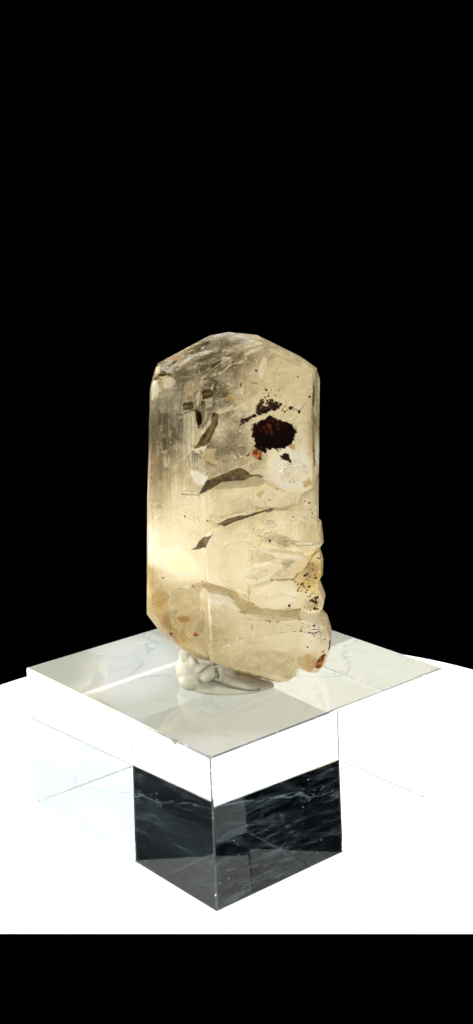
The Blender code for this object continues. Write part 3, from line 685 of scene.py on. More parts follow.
# %% Cracks and thin ledges: their course, and half their width in mm
CRACKS = [
    ([(-10.8, 50.7), (-9.7, 51.5)], 0.14),
    ([(-7.4, 45.4), (-6.5, 45.3), (-5.5, 45.8), (-4.1, 46.1), (-3.1, 47.2)], 0.12),
    ([(-6.9, 32.3), (-4.3, 32.1)], 0.08),
    ([(3.7, 35.5), (5.2, 35.6), (6.1, 35.2)], 0.16),
    ([(10.4, 17.4), (11.8, 18.9), (13.5, 20.1)], 0.10),
    ([(13.7, 21.0), (15.2, 22.3)], 0.09),
    ([(14.6, 20.8), (15.5, 20.6)], 0.10),
    ([(7.0, 17.6), (10.4, 17.5)], 0.05),
    ([(9.7, 45.6), (10.8, 46.4), (12.1, 45.5), (13.2, 46.9)], 0.07),
    ([(7.6, 12.5), (9.9, 12.1), (11.2, 12.1)], 0.04),
    ([(11.4, 12.3), (14.6, 12.0)], 0.03),
    ([(7.6, 9.7), (11.0, 9.5), (14.0, 9.0), (14.6, 9.4)], 0.05),
    ([(-2.9, 51.0), (-1.9, 51.2), (-1.0, 50.6)], 0.10),
    ([(2.9, 49.7), (3.1, 50.3)], 0.12),
    ([(-3.1, 27.8), (-1.5, 27.6)], 0.07),
    ([(-6.0, 16.8), (-4.2, 17.2)], 0.05),
    ([(0.3, 16.9), (2.0, 15.3), (3.4, 13.9), (5.3, 13.1)], 0.05),
    ([(6.5, 49.8), (7.0, 49.1)], 0.07),
    ([(4.3, 50.4), (5.6, 50.2)], 0.07),
    ([(14.4, 39.6), (14.5, 36.3)], 0.10),
]
print(len(CRACKS), "cracks")

# %% Iron oxide: its crusts and translucent flakes as outlines, its grains as (x, h, radius)
IRON_CRUSTS = [
    [(4.5, 42.8), (5.0, 43.9), (6.4, 44.8), (7.6, 45.0), (9.4, 44.4), (10.9, 43.7), (11.7, 42.6), (11.2,
      41.2), (10.6, 40.1), (8.9, 39.5), (7.2, 39.6), (5.5, 40.4), (4.5, 41.6)],
    [(8.9, 38.7), (9.9, 39.1), (10.4, 38.3), (10.8, 37.2), (10.0, 37.7), (8.9, 38.0)],
    [(4.8, 40.2), (5.3, 40.9), (5.9, 40.7), (6.1, 39.7), (5.4, 39.8)],
    [(5.4, 38.3), (6.0, 38.9), (6.0, 37.9)],
    [(3.5, 38.8), (4.1, 39.4), (4.6, 39.8), (4.1, 39.0), (3.7, 38.8)],
    [(6.1, 40.4), (6.9, 39.9), (6.7, 39.2), (6.0, 39.4)],
    [(16.2, 7.3), (16.8, 6.6), (16.6, 5.3), (16.1, 5.3), (16.2, 6.2)],
    [(14.8, 5.0), (15.5, 5.5), (15.2, 4.8)],
    [(-4.4, 46.0), (-3.6, 46.0), (-3.3, 44.7), (-3.4, 43.8), (-3.9, 42.8), (-4.2, 44.0)],
]
FLAKES = [
    [(4.3, 39.0), (4.8, 39.8), (5.4, 39.9), (6.0, 39.7), (6.0, 37.9), (5.2, 38.2)],
    [(-6.2, 8.4), (-5.7, 9.1), (-5.2, 8.4), (-5.6, 8.1)],
    [(13.8, 2.7), (14.3, 3.8), (15.0, 4.6), (15.7, 5.0), (15.5, 4.0), (15.0, 2.6), (14.2, 2.1)],
]
IRON_GRAINS = [
    (6.2, 47.3, 0.41), (5.7, 46.5, 0.39), (7.7, 47.3, 0.41), (8.5, 46.6, 0.49), (9.1, 46.8, 0.27),
    (6.5, 45.9, 0.49), (7.2, 46.2, 0.41), (8.0, 46.1, 0.27), (5.4, 45.5, 0.32), (4.9, 45.1, 0.27),
    (4.3, 44.9, 0.24), (3.7, 44.5, 0.32), (3.0, 44.8, 0.14), (2.8, 43.9, 0.20), (2.3, 42.9, 0.12),
    (10.8, 46.2, 0.28), (12.1, 45.5, 0.24), (9.8, 45.6, 0.12), (13.8, 47.8, 0.18), (5.5, 52.2, 0.18),
    (12.0, 51.1, 0.14), (7.0, 49.1, 0.18), (14.4, 52.0, 0.16), (9.0, 49.0, 0.10), (7.0, 31.4, 0.13),
    (8.3, 33.0, 0.14), (10.0, 32.2, 0.10), (12.2, 30.7, 0.10), (13.5, 30.1, 0.16), (13.9, 28.2, 0.18),
    (10.8, 28.3, 0.12), (6.9, 24.5, 0.18), (3.9, 21.7, 0.10), (13.8, 20.0, 0.13), (13.8, 19.0, 0.15),
    (12.5, 18.1, 0.24), (13.0, 17.1, 0.13), (14.3, 17.4, 0.22), (7.1, 17.6, 0.14), (8.9, 17.5, 0.12),
    (10.5, 17.5, 0.13), (11.0, 17.1, 0.13), (12.0, 16.7, 0.16), (13.2, 16.2, 0.20), (11.6, 16.1, 0.10),
    (11.3, 15.6, 0.14), (12.6, 15.2, 0.12), (9.8, 13.3, 0.20), (7.9, 12.5, 0.16), (8.8, 12.3, 0.14),
    (9.9, 12.1, 0.12), (11.0, 12.0, 0.13), (13.4, 13.8, 0.22), (14.2, 13.5, 0.30), (14.1, 14.2, 0.20),
    (14.6, 14.4, 0.16), (11.6, 12.2, 0.12), (14.1, 12.0, 0.24), (14.6, 11.9, 0.14), (10.8, 11.8, 0.16),
    (11.7, 11.6, 0.20), (12.4, 11.4, 0.13), (13.7, 10.3, 0.20), (11.7, 10.3, 0.10), (11.5, 9.6, 0.14),
    (12.9, 9.1, 0.16), (13.5, 9.0, 0.13), (14.0, 9.0, 0.16), (14.5, 9.2, 0.10), (11.7, 9.4, 0.08),
    (13.7, 8.4, 0.10), (15.5, 7.3, 0.12), (12.6, 6.6, 0.14), (10.7, 1.4, 0.14), (-9.8, 8.6, 0.22),
    (-4.2, 17.4, 0.26), (-3.6, 17.3, 0.18), (-5.3, 16.9, 0.14), (-10.7, 18.3, 0.14), (-6.7, 28.6, 0.16),
    (-3.1, 27.8, 0.12), (-2.1, 16.7, 0.10), (-10.8, 44.9, 0.10),
]
print(len(IRON_CRUSTS), "crusts,", len(FLAKES), "flakes and", len(IRON_GRAINS), "grains of iron oxide")


# %% [markdown]
# ## Films, glows and shattered places
#
# What changes slowly over the crystal is laid down as soft ovals: films of rust and clay, the broad
# bright and dark zones that light makes inside the stone, the clear places among the milky ones, and
# those where it is broken into small shards. Real light would make the bright zones by itself in a
# perfect scan of the inside. Without one, ovals give them where this stone has them.

# %% Rust and clay films: centre, radii and strength
STAINS = [
    ((-7.4, 53.9), (1.3, 0.5), 0.9), ((-10.5, 10.6), (0.8, 1.5), 0.9), ((-9.4, 7.0), (1.0, 2.2), 0.7),
    ((-7.6, 11.2), (1.5, 0.7), 0.6), ((-7.9, 8.0), (0.5, 1.2), 0.9), ((-11.6, 14.6), (1.6, 2.2), 0.45),
    ((13.4, 3.4), (1.8, 1.8), 0.5), ((15.2, 9.0), (1.4, 3.0), 0.35), ((13.6, 18.8), (1.8, 1.5), 0.6),
    ((12.4, 16.4), (1.6, 0.7), 0.4), ((13.6, 13.0), (1.6, 1.2), 0.4), ((0.4, 49.2), (0.9, 0.4), 0.9),
    ((-10.9, 38.0), (0.6, 1.0), 0.5), ((10.9, 40.0), (0.7, 0.5), 0.7), ((-4.0, 16.9), (0.7, 0.4), 0.6),
    ((14.0, 39.0), (0.8, 6.0), 0.25), ((6.8, 52.0), (7.0, 4.0), 0.12),
]
print(len(STAINS), "films")

# %% Broad changes of light through the crystal: centre, radii, tone and warmth
GLOWS = [
    ((-4.5, 46.5), (9.5, 11.5), -0.45, -0.1), ((-1.0, 54.5), (11.0, 4.0), -0.45, 0.0),
    ((9.5, 50.0), (6.5, 7.0), 0.05, 0.25), ((1.0, 38.5), (6.0, 4.0), -0.3, 0.0),
    ((10.8, 36.0), (4.2, 3.6), 1.15, -0.1), ((-7.5, 27.5), (4.0, 8.0), 0.1, 0.0),
    ((-12.6, 24.0), (1.2, 3.0), 0.7, -0.1), ((-11.0, 21.5), (2.2, 1.8), 0.5, -0.1),
    ((-8.0, 19.3), (3.6, 2.4), 0.55, -0.1), ((-4.0, 19.2), (3.5, 1.8), 0.35, 0.0),
    ((-12.9, 30.0), (0.6, 9.0), 0.1, 0.0), ((0.0, 22.0), (8.0, 4.5), 0.25, 0.0),
    ((6.0, 15.0), (7.0, 3.5), 0.4, 0.0), ((-6.0, 43.0), (1.8, 5.0), 0.45, -0.6),
    ((13.5, 18.0), (3.0, 4.0), 0.32, 0.8), ((-10.5, 10.0), (4.5, 7.0), -0.25, 0.6),
    ((3.0, 3.0), (11.0, 4.5), -0.15, 0.1), ((14.5, 5.0), (2.5, 5.0), 0.25, 0.0),
    ((14.5, 42.0), (1.2, 10.0), -0.2, 0.2), ((5.0, 9.5), (8.0, 3.0), 0.1, 0.0),
    ((-10.2, 42.5), (2.6, 5.5), -0.3, -0.1), ((-7.5, 26.5), (4.5, 6.0), 0.25, 0.0),
    ((-10.0, 23.5), (3.0, 4.0), 0.2, 0.0), ((-9.4, 53.2), (2.6, 2.6), -0.6, 0.2),
    ((-5.0, 53.6), (2.6, 2.2), 0.3, -0.1), ((-0.8, 42.8), (1.5, 2.6), 0.45, 0.0),
    ((-2.6, 15.3), (2.6, 1.2), 0.3, 0.0), ((-4.0, 9.0), (4.5, 3.0), -0.35, 0.2),
    ((9.5, 8.2), (4.5, 3.4), 0.3, 0.0), ((3.0, 19.3), (2.6, 1.6), 0.2, 0.0),
    ((12.0, 15.5), (3.0, 1.6), 0.35, 0.1), ((9.0, 24.6), (4.5, 1.8), 0.25, 0.1),
    ((3.5, 32.0), (3.0, 2.0), 0.15, 0.0), ((12.0, 11.8), (4.0, 1.2), 0.45, 0.1),
    ((10.5, 34.6), (2.5, 1.4), 0.4, -0.1), ((1.2, 26.2), (2.2, 2.0), -0.15, 0.0),
    ((-9.5, 21.8), (3.4, 2.0), 0.5, -0.1), ((-12.3, 25.5), (1.8, 2.6), 0.4, -0.1),
    ((-7.6, 20.6), (2.2, 1.8), 1.1, -0.2), ((8.5, 23.8), (4.5, 2.2), 0.2, 0.0),
    ((7.5, 15.0), (5.5, 2.4), 0.2, 0.0), ((14.0, 8.0), (2.6, 3.4), 0.85, 0.1),
    ((7.0, 1.5), (4.0, 1.8), 0.25, 0.0), ((12.5, 22.5), (3.0, 2.5), 0.25, 0.0),
    ((10.5, 27.8), (4.0, 2.0), 0.15, 0.0), ((2.5, 17.2), (2.2, 2.4), 0.25, 0.0),
    ((-2.2, 17.8), (3.4, 1.4), 0.3, 0.0), ((-7.8, 35.0), (4.0, 1.8), -0.15, 0.0),
    ((-13.0, 18.4), (2.0, 2.4), -0.25, 0.5), ((-11.2, 38.0), (1.7, 9.0), -0.38, 0.1),
    ((-8.0, 42.0), (3.5, 4.0), -0.2, 0.0), ((15.2, 38.0), (1.2, 9.0), -0.5, 0.2),
    ((-5.2, 29.2), (2.2, 2.8), 0.25, -0.1), ((6.0, 37.0), (2.0, 2.0), -0.3, 0.0),
    ((-8.6, 53.2), (2.6, 1.6), -0.3, 0.1), ((4.5, 44.0), (3.0, 3.5), 0.1, 0.0),
    ((-10.4, 31.0), (2.6, 4.0), -0.2, 0.0), ((-0.4, 46.4), (2.6, 2.8), -0.2, 0.0),
    ((-1.2, 21.5), (3.2, 2.6), -0.12, 0.0),
]
print(len(GLOWS), "glows")

# %% Where the quartz is clear rather than milky, and where it is broken into small shards
CLEARINGS = [
    ((-4.0, 47.0), (9.0, 9.0), 0.9), ((-2.0, 54.5), (10.0, 4.0), 0.8), ((0.5, 38.5), (6.5, 4.0), 0.6),
    ((-7.5, 40.0), (3.0, 6.0), 0.6), ((1.0, 33.0), (6.0, 6.0), 0.25), ((6.5, 24.5), (6.0, 4.0), 0.3),
]
SHATTERED = [
    ((-1.5, 47.0), (7.5, 7.5), 1.0), ((-8.5, 39.5), (2.6, 5.0), 0.9), ((10.8, 36.0), (4.2, 3.4), 1.3),
    ((2.0, 38.5), (5.5, 3.5), 0.7), ((12.5, 17.0), (3.5, 6.0), 0.8), ((7.5, 24.5), (5.5, 3.5), 0.5),
    ((-1.0, 54.0), (9.0, 3.5), 0.6), ((11.0, 28.5), (5.0, 3.0), 0.4), ((14.5, 4.0), (2.5, 4.0), 0.7),
]
print(len(CLEARINGS), "clear and", len(SHATTERED), "shattered places")


# %% [markdown]
# ## Distances
#
# Crisp edges at any size come from distances rather than from pictures: a point that is 0.1 mm inside
# an outline can be told from one that is 0.1 mm outside it. The same few functions measure facets,
# cracks and folds, for the paint, for the finer mesh, and for the putty.

# %% Distances on the broad face
FAR = 1e3  # mm: further off than anything on the crystal


def along(points, outline, closed):
    """The distance in mm from each (x, h) point to an outline or a course."""
    corners = np.array(outline, dtype=float)
    ends = np.roll(corners, -1, axis=0)
    if not closed:
        corners, ends = corners[:-1], ends[:-1]
    distance = np.full(len(points), FAR)
    for start, end in zip(corners, ends):
        run = end - start
        share = np.clip((points - start) @ run / (run @ run), 0, 1)
        distance = np.minimum(distance, np.linalg.norm(points - start - share[:, None] * run, axis=1))
    return distance


def outside(points, outline):
    """The distance to an outline, negative inside it."""
    inside = np.zeros(len(points), dtype=bool)
    for (x0, h0), (x1, h1) in zip(outline, outline[1:] + outline[:1]):
        if h0 != h1:
            crosses = (h0 > points[:, 1]) != (h1 > points[:, 1])
            inside ^= crosses & (points[:, 0] < (x1 - x0) * (points[:, 1] - h0) / (h1 - h0) + x0)
    distance = along(points, outline, True)
    return np.where(inside, -distance, distance)


def eased(value, low, high):
    """0 at low and 1 at high, with a smooth run between them."""
    share = np.clip((value - low) / (high - low), 0, 1)
    return share * share * (3 - 2 * share)


square = [(0, 0), (2, 0), (2, 2), (0, 2)]
print("the middle of a 2 mm square is", outside(np.array([[1.0, 1.0]]), square)[0], "mm outside it")


# %% [markdown]
# ## A finer mesh, only where it pays
#
# Paint on a mesh is held by its points, so an outline is only as crisp as the points beside it are
# close together. Subdividing the whole crystal that far would take millions of triangles. Instead
# square cells are cut across it, so that no triangle stays long and thin, and then the edges that
# are too long for their place are split, round after round: short ones beside cracks and iron, longer
# ones on plain faces.

# %% A grid of cuts
PITCH = 1.0  # mm


def spots(mesh):
    """Every point of the mesh, in mm above the block's top."""
    places = np.empty(len(mesh.vertices) * 3)
    mesh.vertices.foreach_get("co", places)
    return places.reshape(-1, 3) / MM - (0, 0, BLOCK_TOP / MM)


def grid(piece):
    """Cut square cells across the broad face, so that no triangle stays long and thin."""
    low, high = spots(piece.data).min(axis=0), spots(piece.data).max(axis=0)
    bpy.ops.object.mode_set(mode="EDIT")
    for axis, normal in ((0, (1, 0, 0)), (2, (0, 0, 1))):
        for place in np.arange(low[axis] + PITCH / 2, high[axis], PITCH):
            through = Vector(normal) * float(place) * MM + Vector((0, 0, BLOCK_TOP))
            bpy.ops.mesh.select_all(action="SELECT")
            bpy.ops.mesh.bisect(plane_co=through, plane_no=normal)
    bpy.ops.mesh.select_all(action="SELECT")
    bpy.ops.mesh.quads_convert_to_tris()
    bpy.ops.object.mode_set(mode="OBJECT")


grid(crystal)
print("crystal cut into", len(crystal.data.polygons), "triangles")

# %% How long an edge may be, in mm
BROAD = 0.95      # on the broad face
FINE = 0.42       # within BESIDE of a painted outline
BESIDE = 0.25
HAIR = 0.25       # within CLOSE_BY of a crack, a dark slot, a flake or a crust
CLOSE_BY = 0.15
FACE_BEHIND = -1  # the broad face lies in front of this depth
CRISP = [(outline, True) for outline in DARK_LEDGES + IRON_CRUSTS + FLAKES]
CRISP += [(course, False) for course, _ in CRACKS]
RIMS = [(outline, True) for outline, *_ in FACETS]


def closeness(flat, outlines):
    """The distance to the nearest of several outlines or courses."""
    near = np.full(len(flat), FAR)
    for outline, closed in outlines:
        near = np.minimum(near, along(flat, outline, closed))
    return near


def longest_edge(middles):
    """How long an edge may be at each place."""
    front = middles[:, 1] < FACE_BEHIND
    flat = middles[front][:, [0, 2]]
    crisp = closeness(flat, CRISP)
    wanted = np.where(closeness(flat, RIMS + CRISP) < BESIDE, FINE, BROAD)
    limit = np.full(len(middles), 2 * PITCH)
    limit[front] = np.where(crisp < CLOSE_BY, HAIR, wanted)
    return limit


print("edges from", HAIR, "to", 2 * PITCH, "mm")

# %% Splitting, round after round
SPLIT_ROUNDS = 4


def refine(piece):
    """Split every edge that is too long for its place, and again, until few are left."""
    mesh = piece.data
    for _ in range(SPLIT_ROUNDS):
        places = spots(mesh)
        ends = np.empty(len(mesh.edges) * 2, dtype=int)
        mesh.edges.foreach_get("vertices", ends)
        ends = ends.reshape(-1, 2)
        lengths = np.linalg.norm(places[ends[:, 0]] - places[ends[:, 1]], axis=1)
        long = lengths > longest_edge((places[ends[:, 0]] + places[ends[:, 1]]) / 2)
        if not long.any():
            break
        mesh.vertices.foreach_set("select", np.zeros(len(mesh.vertices), dtype=bool))
        mesh.polygons.foreach_set("select", np.zeros(len(mesh.polygons), dtype=bool))
        mesh.edges.foreach_set("select", long)
        bpy.ops.object.mode_set(mode="EDIT")
        bpy.ops.mesh.select_mode(type="EDGE")
        bpy.ops.mesh.subdivide(number_cuts=1)
        bpy.ops.mesh.select_all(action="SELECT")
        bpy.ops.mesh.quads_convert_to_tris()
        bpy.ops.object.mode_set(mode="OBJECT")
    print("crystal mesh:", len(mesh.polygons), "triangles")


refine(crystal)


# %% [markdown]
# ## Painting and shaping the crystal
#
# Where the cracks, the iron and the rust sit follows no pattern, so noise can't make them. They could
# be image masks, but a mask needs a flat map of a stepped body. Here every point of the mesh gets
# numbers instead, such as its distance to the nearest stain, and the finish turns them into colour
# later. The low relief is made in the same pass, by moving points in code as a sculptor's brush
# would, because it follows the very outlines that are painted.

# %% Patches, and the nearest of many outlines
EDGE = 0.10          # mm: how softly a facet's tone ends
CRUST_PLANE = -7.5   # mm: the depth of the one pane that carries the iron crust
RIDGE_PLANE = -5.55  # mm: the depth at which the growth ridges fade out, towards the foot


def patch(flat, centre, radii, hard=0.3, soft=1.35):
    """1 in the middle of an oval patch, easing to 0 around it."""
    x, h = centre
    return eased(np.hypot((flat[:, 0] - x) / radii[0], (flat[:, 1] - h) / radii[1]), soft, hard)


def strongest(flat, patches):
    """The strength of the strongest oval patch at each point."""
    strength = np.zeros(len(flat))
    for centre, radii, amount in patches:
        strength = np.maximum(strength, amount * patch(flat, centre, radii))
    return strength


def nearest(flat, outlines):
    """The distance to the nearest outline, negative inside it. Past 1 mm it doesn't matter."""
    distance = np.full(len(flat), 1.0)
    for outline in outlines:
        distance = np.minimum(distance, outside(flat, outline))
    return distance


print("a patch fades from", patch(np.zeros((1, 2)), (0, 0), (1, 1))[0], "in its middle")


# %% What the glows, the facets, the cracks and the iron give each point
TONE_GAIN = 1.2  # how much a facet's drawn tone is heightened
COVER = 0.9      # how far a facet hides the tone under it
TINGE = 0.85     # and how far the warmth


def light_of(flat, front):
    """The tone, which is painted light and shade, the warmth and the relief."""
    tone, warmth, rise = np.zeros((3, len(flat)))
    for centre, radii, shade, heat in GLOWS:
        near = patch(flat, centre, radii)
        tone += shade * near
        warmth += heat * near * front
    for outline, shade, heat, height in FACETS:
        inside = eased(-outside(flat, outline), -EDGE, EDGE) * front
        tone += (shade * TONE_GAIN - tone) * inside * COVER
        warmth += (heat - warmth) * inside * TINGE
        rise += height * inside
    return tone, warmth, rise


def dark_of(flat, facing):
    """The distance to the nearest dark slot or crack, where the finish paints the shade seen through it.
    """
    dark = nearest(flat, DARK_LEDGES)
    for course, half in CRACKS:
        dark = np.minimum(dark, along(flat, course, False) - half + 2 * (1 - facing))
    return dark


def grain_of(flat, facing):
    """The nearest grain of iron: where it is, and its radius. Faces turned away get none."""
    grains = np.array(IRON_GRAINS)
    reach = np.hypot(flat[:, None, 0] - grains[None, :, 0], flat[:, None, 1] - grains[None, :, 1])
    grain = grains[(reach - grains[None, :, 2]).argmin(axis=1)]
    grain[:, 2] -= 10 * (1 - facing)
    return grain


def reshaped(places, rise):
    """The points moved: facets raised, ridges faded out at the foot, the crust's pane made flat."""
    flat = places[:, [0, 2]]
    moved = places + (0, 0, BLOCK_TOP / MM)
    ridges = eased(flat[:, 0], -3.2, -4.2) * eased(flat[:, 1], 36.0, 30.0) * eased(-places[:, 1], 4.4, 5.0)
    moved[:, 1] += (RIDGE_PLANE - moved[:, 1]) * ridges * 0.85 - rise
    pane = patch(flat, (7.6, 42.4), (5.2, 4.4), 0.7, 1.3) * eased(-places[:, 1], 6.8, 7.1)
    moved[:, 1] += (CRUST_PLANE - moved[:, 1]) * pane
    return moved


print("the crust's pane lies at", CRUST_PLANE, "mm, the faded ridges at", RIDGE_PLANE, "mm")


# %% Paint it
def paint(piece):
    """Give each point its numbers, then move it. The back gets no markings."""
    mesh = piece.data
    places = spots(mesh)
    flat = places[:, [0, 2]]
    normals = np.empty(len(places) * 3)
    mesh.vertices.foreach_get("normal", normals)
    front = eased(-places[:, 1], 0.4, 1.6)
    facing = front * eased(-normals.reshape(-1, 3)[:, 1], 0.3, 0.55)
    behind = 2 * (1 - front)
    tone, warmth, rise = light_of(flat, front)
    rim = closeness(flat, RIMS)
    values = {"tone": tone, "warmth": warmth, "rim": rim + behind, "dark": dark_of(flat, facing) + behind,
              "iron": nearest(flat, IRON_CRUSTS) + behind, "flake": nearest(flat, FLAKES) + behind,
              "rust": strongest(flat, STAINS) * front, "clear": strongest(flat, CLEARINGS),
              "shards": strongest(flat, SHATTERED) * front}
    for name, value in values.items():
        layer = mesh.attributes.new(name, "FLOAT", "POINT")
        layer.data.foreach_set("value", value.astype(np.float32))
    layer = mesh.attributes.new("grain", "FLOAT_VECTOR", "POINT")
    layer.data.foreach_set("vector", grain_of(flat, facing).astype(np.float32).ravel())
    mesh.vertices.foreach_set("co", (reshaped(places, rise) * MM).ravel())
    mesh.update()


paint(crystal)
print("painted on", len(crystal.data.vertices), "points")


# %% [markdown]
# ## The finish of the crystal
#
# Quartz is clear, with a refractive index of 1.544. What dims this one is inside it: veils of tiny
# bubbles, healed cracks, and faces that throw light back. All of that can't be modelled, so the finish
# mixes two stones from point to point: a clear one, with plain transmission and absorption, and a
# milky one that scatters light and glows with what comes from behind. One number decides the mix and
# the colour: the light of a place, which is painted light and shade. It adds the painted tone to cloudy
# noise, stretched noise for fibres, cells for shards, thin lines for cracks, and painted glints and
# painted shade along the facets' rims. Rust, the painted shade of dark slots, and iron oxide with a
# painted red highlight then lie over the stone.

# %% Iron oxide, from the paint
def iron_cover(look, ragged):
    """How much iron oxide covers a point, and how near it is to the middle of the big crust."""
    middle = look.node("ShaderNodeAttribute", {"attribute_name": "grain"}).outputs["Vector"]
    middle_x, middle_h, radius = [look.axis(index, middle) for index in range(3)]
    across, up = look.axis(0) - middle_x, look.axis(2) - middle_h
    from_grain = (across ** 2 + up ** 2) ** 0.5 - radius * 1.12
    crumbs = look.noise(0.35, detail=3, rough=0.7) - 0.5
    core = look.blob((8.1, 0, 42.4), (5.0, 50, 4.0)).ramp(1.2, 0.8)
    crust = look.painted("iron") + ragged * (0.7 + core * 1.7)
    return crust.least(from_grain + crumbs * radius * 2.2).ramp(0.05, -0.05), core


def oxide_colour(look, core):
    """Nearly black in the crust, browner in loose grains, with a painted red highlight in the big crust's
    upper middle.
    """
    # A painted red highlight in the upper middle of the big crust.
    red_highlight = look.blob((7.6, 0, 43.3), (2.6, 40, 1.4), math.radians(-18)).ramp(1.2, 0.2)
    red_highlight = look.noise(0.7, detail=5, rough=0.7).ramp(0.48, 0.66) * red_highlight
    return look.mixed(red_highlight, look.mixed(core, (0.035, 0.014, 0.004), (0.006, 0.002, 0.002)),
                      (0.17, 0.038, 0.010))


print("iron oxide ready")


# %% Growth marks, shards and fine lines in the stone
def growth(look):
    """Cloudy mottling, the fibres and flutes of the left column, and the streaks of the crown."""
    x, height = look.axis(0), look.axis(2)
    column = x.ramp(-2.5, -4.5) * height.ramp(17.0, 22.0) * height.ramp(52.0, 48.0)
    fibres = look.noise(0.9, detail=6, rough=0.65, stretch=(1, 1, 8), warp=0.3) - 0.5
    fibres = fibres * column * look.noise(4.5, detail=3).ramp(0.38, 0.58)
    crown = height.ramp(50.0, 52.5)
    streaks = look.noise(1.6, detail=3, rough=0.5, stretch=(3.5, 1, 0.8), at=look.turned(14)) - 0.5
    flutes = (look.noise(0.5, detail=3, rough=0.6, stretch=(1, 1, 14)) - 0.5) * x.ramp(-3.5, -4.5)
    flutes = flutes * height.ramp(35.0, 38.0) * height.ramp(47.0, 44.0)
    mottle = (look.noise(2.4, detail=7, rough=0.66, warp=0.8) - 0.5) * (crown * -0.33 + 0.55)
    return mottle + fibres * 1.5 + flutes * 1.8 + streaks * crown * 1.3


def splinters(look, shards):
    """Slanting panes where the stone is broken small, and the relief that they make."""
    slant = look.stirred(1.6, 1.6, look.turned(28))
    broad = look.tones(1.9, stretch=(1.0, 1.0, 1.5), at=look.stirred(2.0, 1.5))
    small = look.tones(0.8, stretch=(1.8, 1.0, 0.8), at=slant)
    panes = look.tones(1.7, stretch=(2.2, 1.0, 0.8), at=slant, shift=(3, 7, 1))
    places = look.noise(5.0, detail=2).ramp(0.42, 0.58)
    broken = (broad * 0.5 + small * 0.55) * shards + panes * 0.25 * places
    tiny = look.cells(0.45, stretch=(1.0, 1.0, 1.3), shift=(5, 2, 0), output="Color")
    sparkle = (tiny.ramp(0.80, 0.92) * 0.45 - tiny.ramp(0.20, 0.08) * 0.3) * shards
    crazed = (look.noise(0.8, detail=7, rough=0.85, warp=0.5) * 20 - 10.45) * shards.ramp(0.95, 1.25)
    crackle = look.cells(1.1, "DISTANCE_TO_EDGE", at=look.stirred(1.0, 1.4)).ramp(0.10, 0.0)
    light = broken + sparkle + crazed - crackle * shards.ramp(0.9, 1.2)
    return light, (broad + small * 0.6) * shards


def fine_lines(look, ragged):
    """Healed and open cracks, and painted glints and painted shade along the facets' rims, bright in one
    place and dark in another.
    """
    slant = look.stirred(1.6, 1.6, look.turned(28))
    seam = look.noise(2.6, detail=3, rough=0.5, warp=1.6, at=slant) - 0.5
    healed = seam.thin_line(0.012) * look.noise(3.0, detail=2, shift=(4, 4, 0)).ramp(0.46, 0.56)
    split = look.noise(3.4, detail=3, rough=0.5, warp=1.2, at=look.turned(-20)) - 0.5
    cracked = split.thin_line(0.008) * look.noise(3.6, detail=2, shift=(9, 1, 0)).ramp(0.50, 0.60)
    rim = (look.painted("rim") + ragged * 0.15).ramp(0.10, 0.02)
    # Painted glints and painted shade along the facets' rims.
    rim_glint = rim * look.noise(1.7, detail=2, shift=(7, 0, 0)).ramp(0.48, 0.58)
    rim_shade = rim * look.noise(1.3, detail=2, shift=(0, 9, 0)).ramp(0.50, 0.58)
    return healed * 0.5 - cracked * 0.45 + rim_glint * 0.65 - rim_shade * 0.75


print("growth, splinters and lines ready")


# %% The stone's colour
CREAM_STOPS = [(0.0, (0.02, 0.016, 0.008)), (0.25, (0.22, 0.176, 0.095)), (0.5, (0.72, 0.613, 0.385)),
               (0.72, (0.95, 0.855, 0.61)), (1.0, (1.0, 0.985, 0.90))]
WARM = (1.0, 0.80, 0.30)
COOL = (0.82, 0.97, 1.15)
RUST = (0.36, 0.18, 0.05)


def stone_colour(look, light, warmth):
    """From smoky through cream to white with the light, then warmed or cooled."""
    cream = look.node("ShaderNodeValToRGB", {"stops": CREAM_STOPS}, {0: light * 0.5 + 0.53}).outputs[0]
    warm = look.mixed(warmth.clamped(), cream, look.mixed(1.0, cream, WARM, "MULTIPLY"))
    return look.mixed((warmth * -1).clamped(), warm, look.mixed(1.0, warm, COOL, "MULTIPLY"))


def flake_colour(look):
    """Deep red to orange, as iron oxide is where light comes through it."""
    return look.mixed(look.noise(0.5, detail=4).ramp(0.42, 0.60), (0.10, 0.018, 0.006), (0.52, 0.15, 0.02))


def slot_shade_colour(look):
    """Painted shade: the mottled olive of the dark seen through a slot or a crack."""
    olive = look.noise(0.8, detail=5, rough=0.7).ramp(0.40, 0.66)
    return look.mixed(olive, (0.012, 0.007, 0.002), (0.19, 0.115, 0.015))


print(len(CREAM_STOPS), "stops from smoky to white")


# %% Quartz
QUARTZ_IOR = 1.544
QUARTZ_TINT = (0.97, 0.92, 0.76)
QUARTZ_DENSITY = 18.0


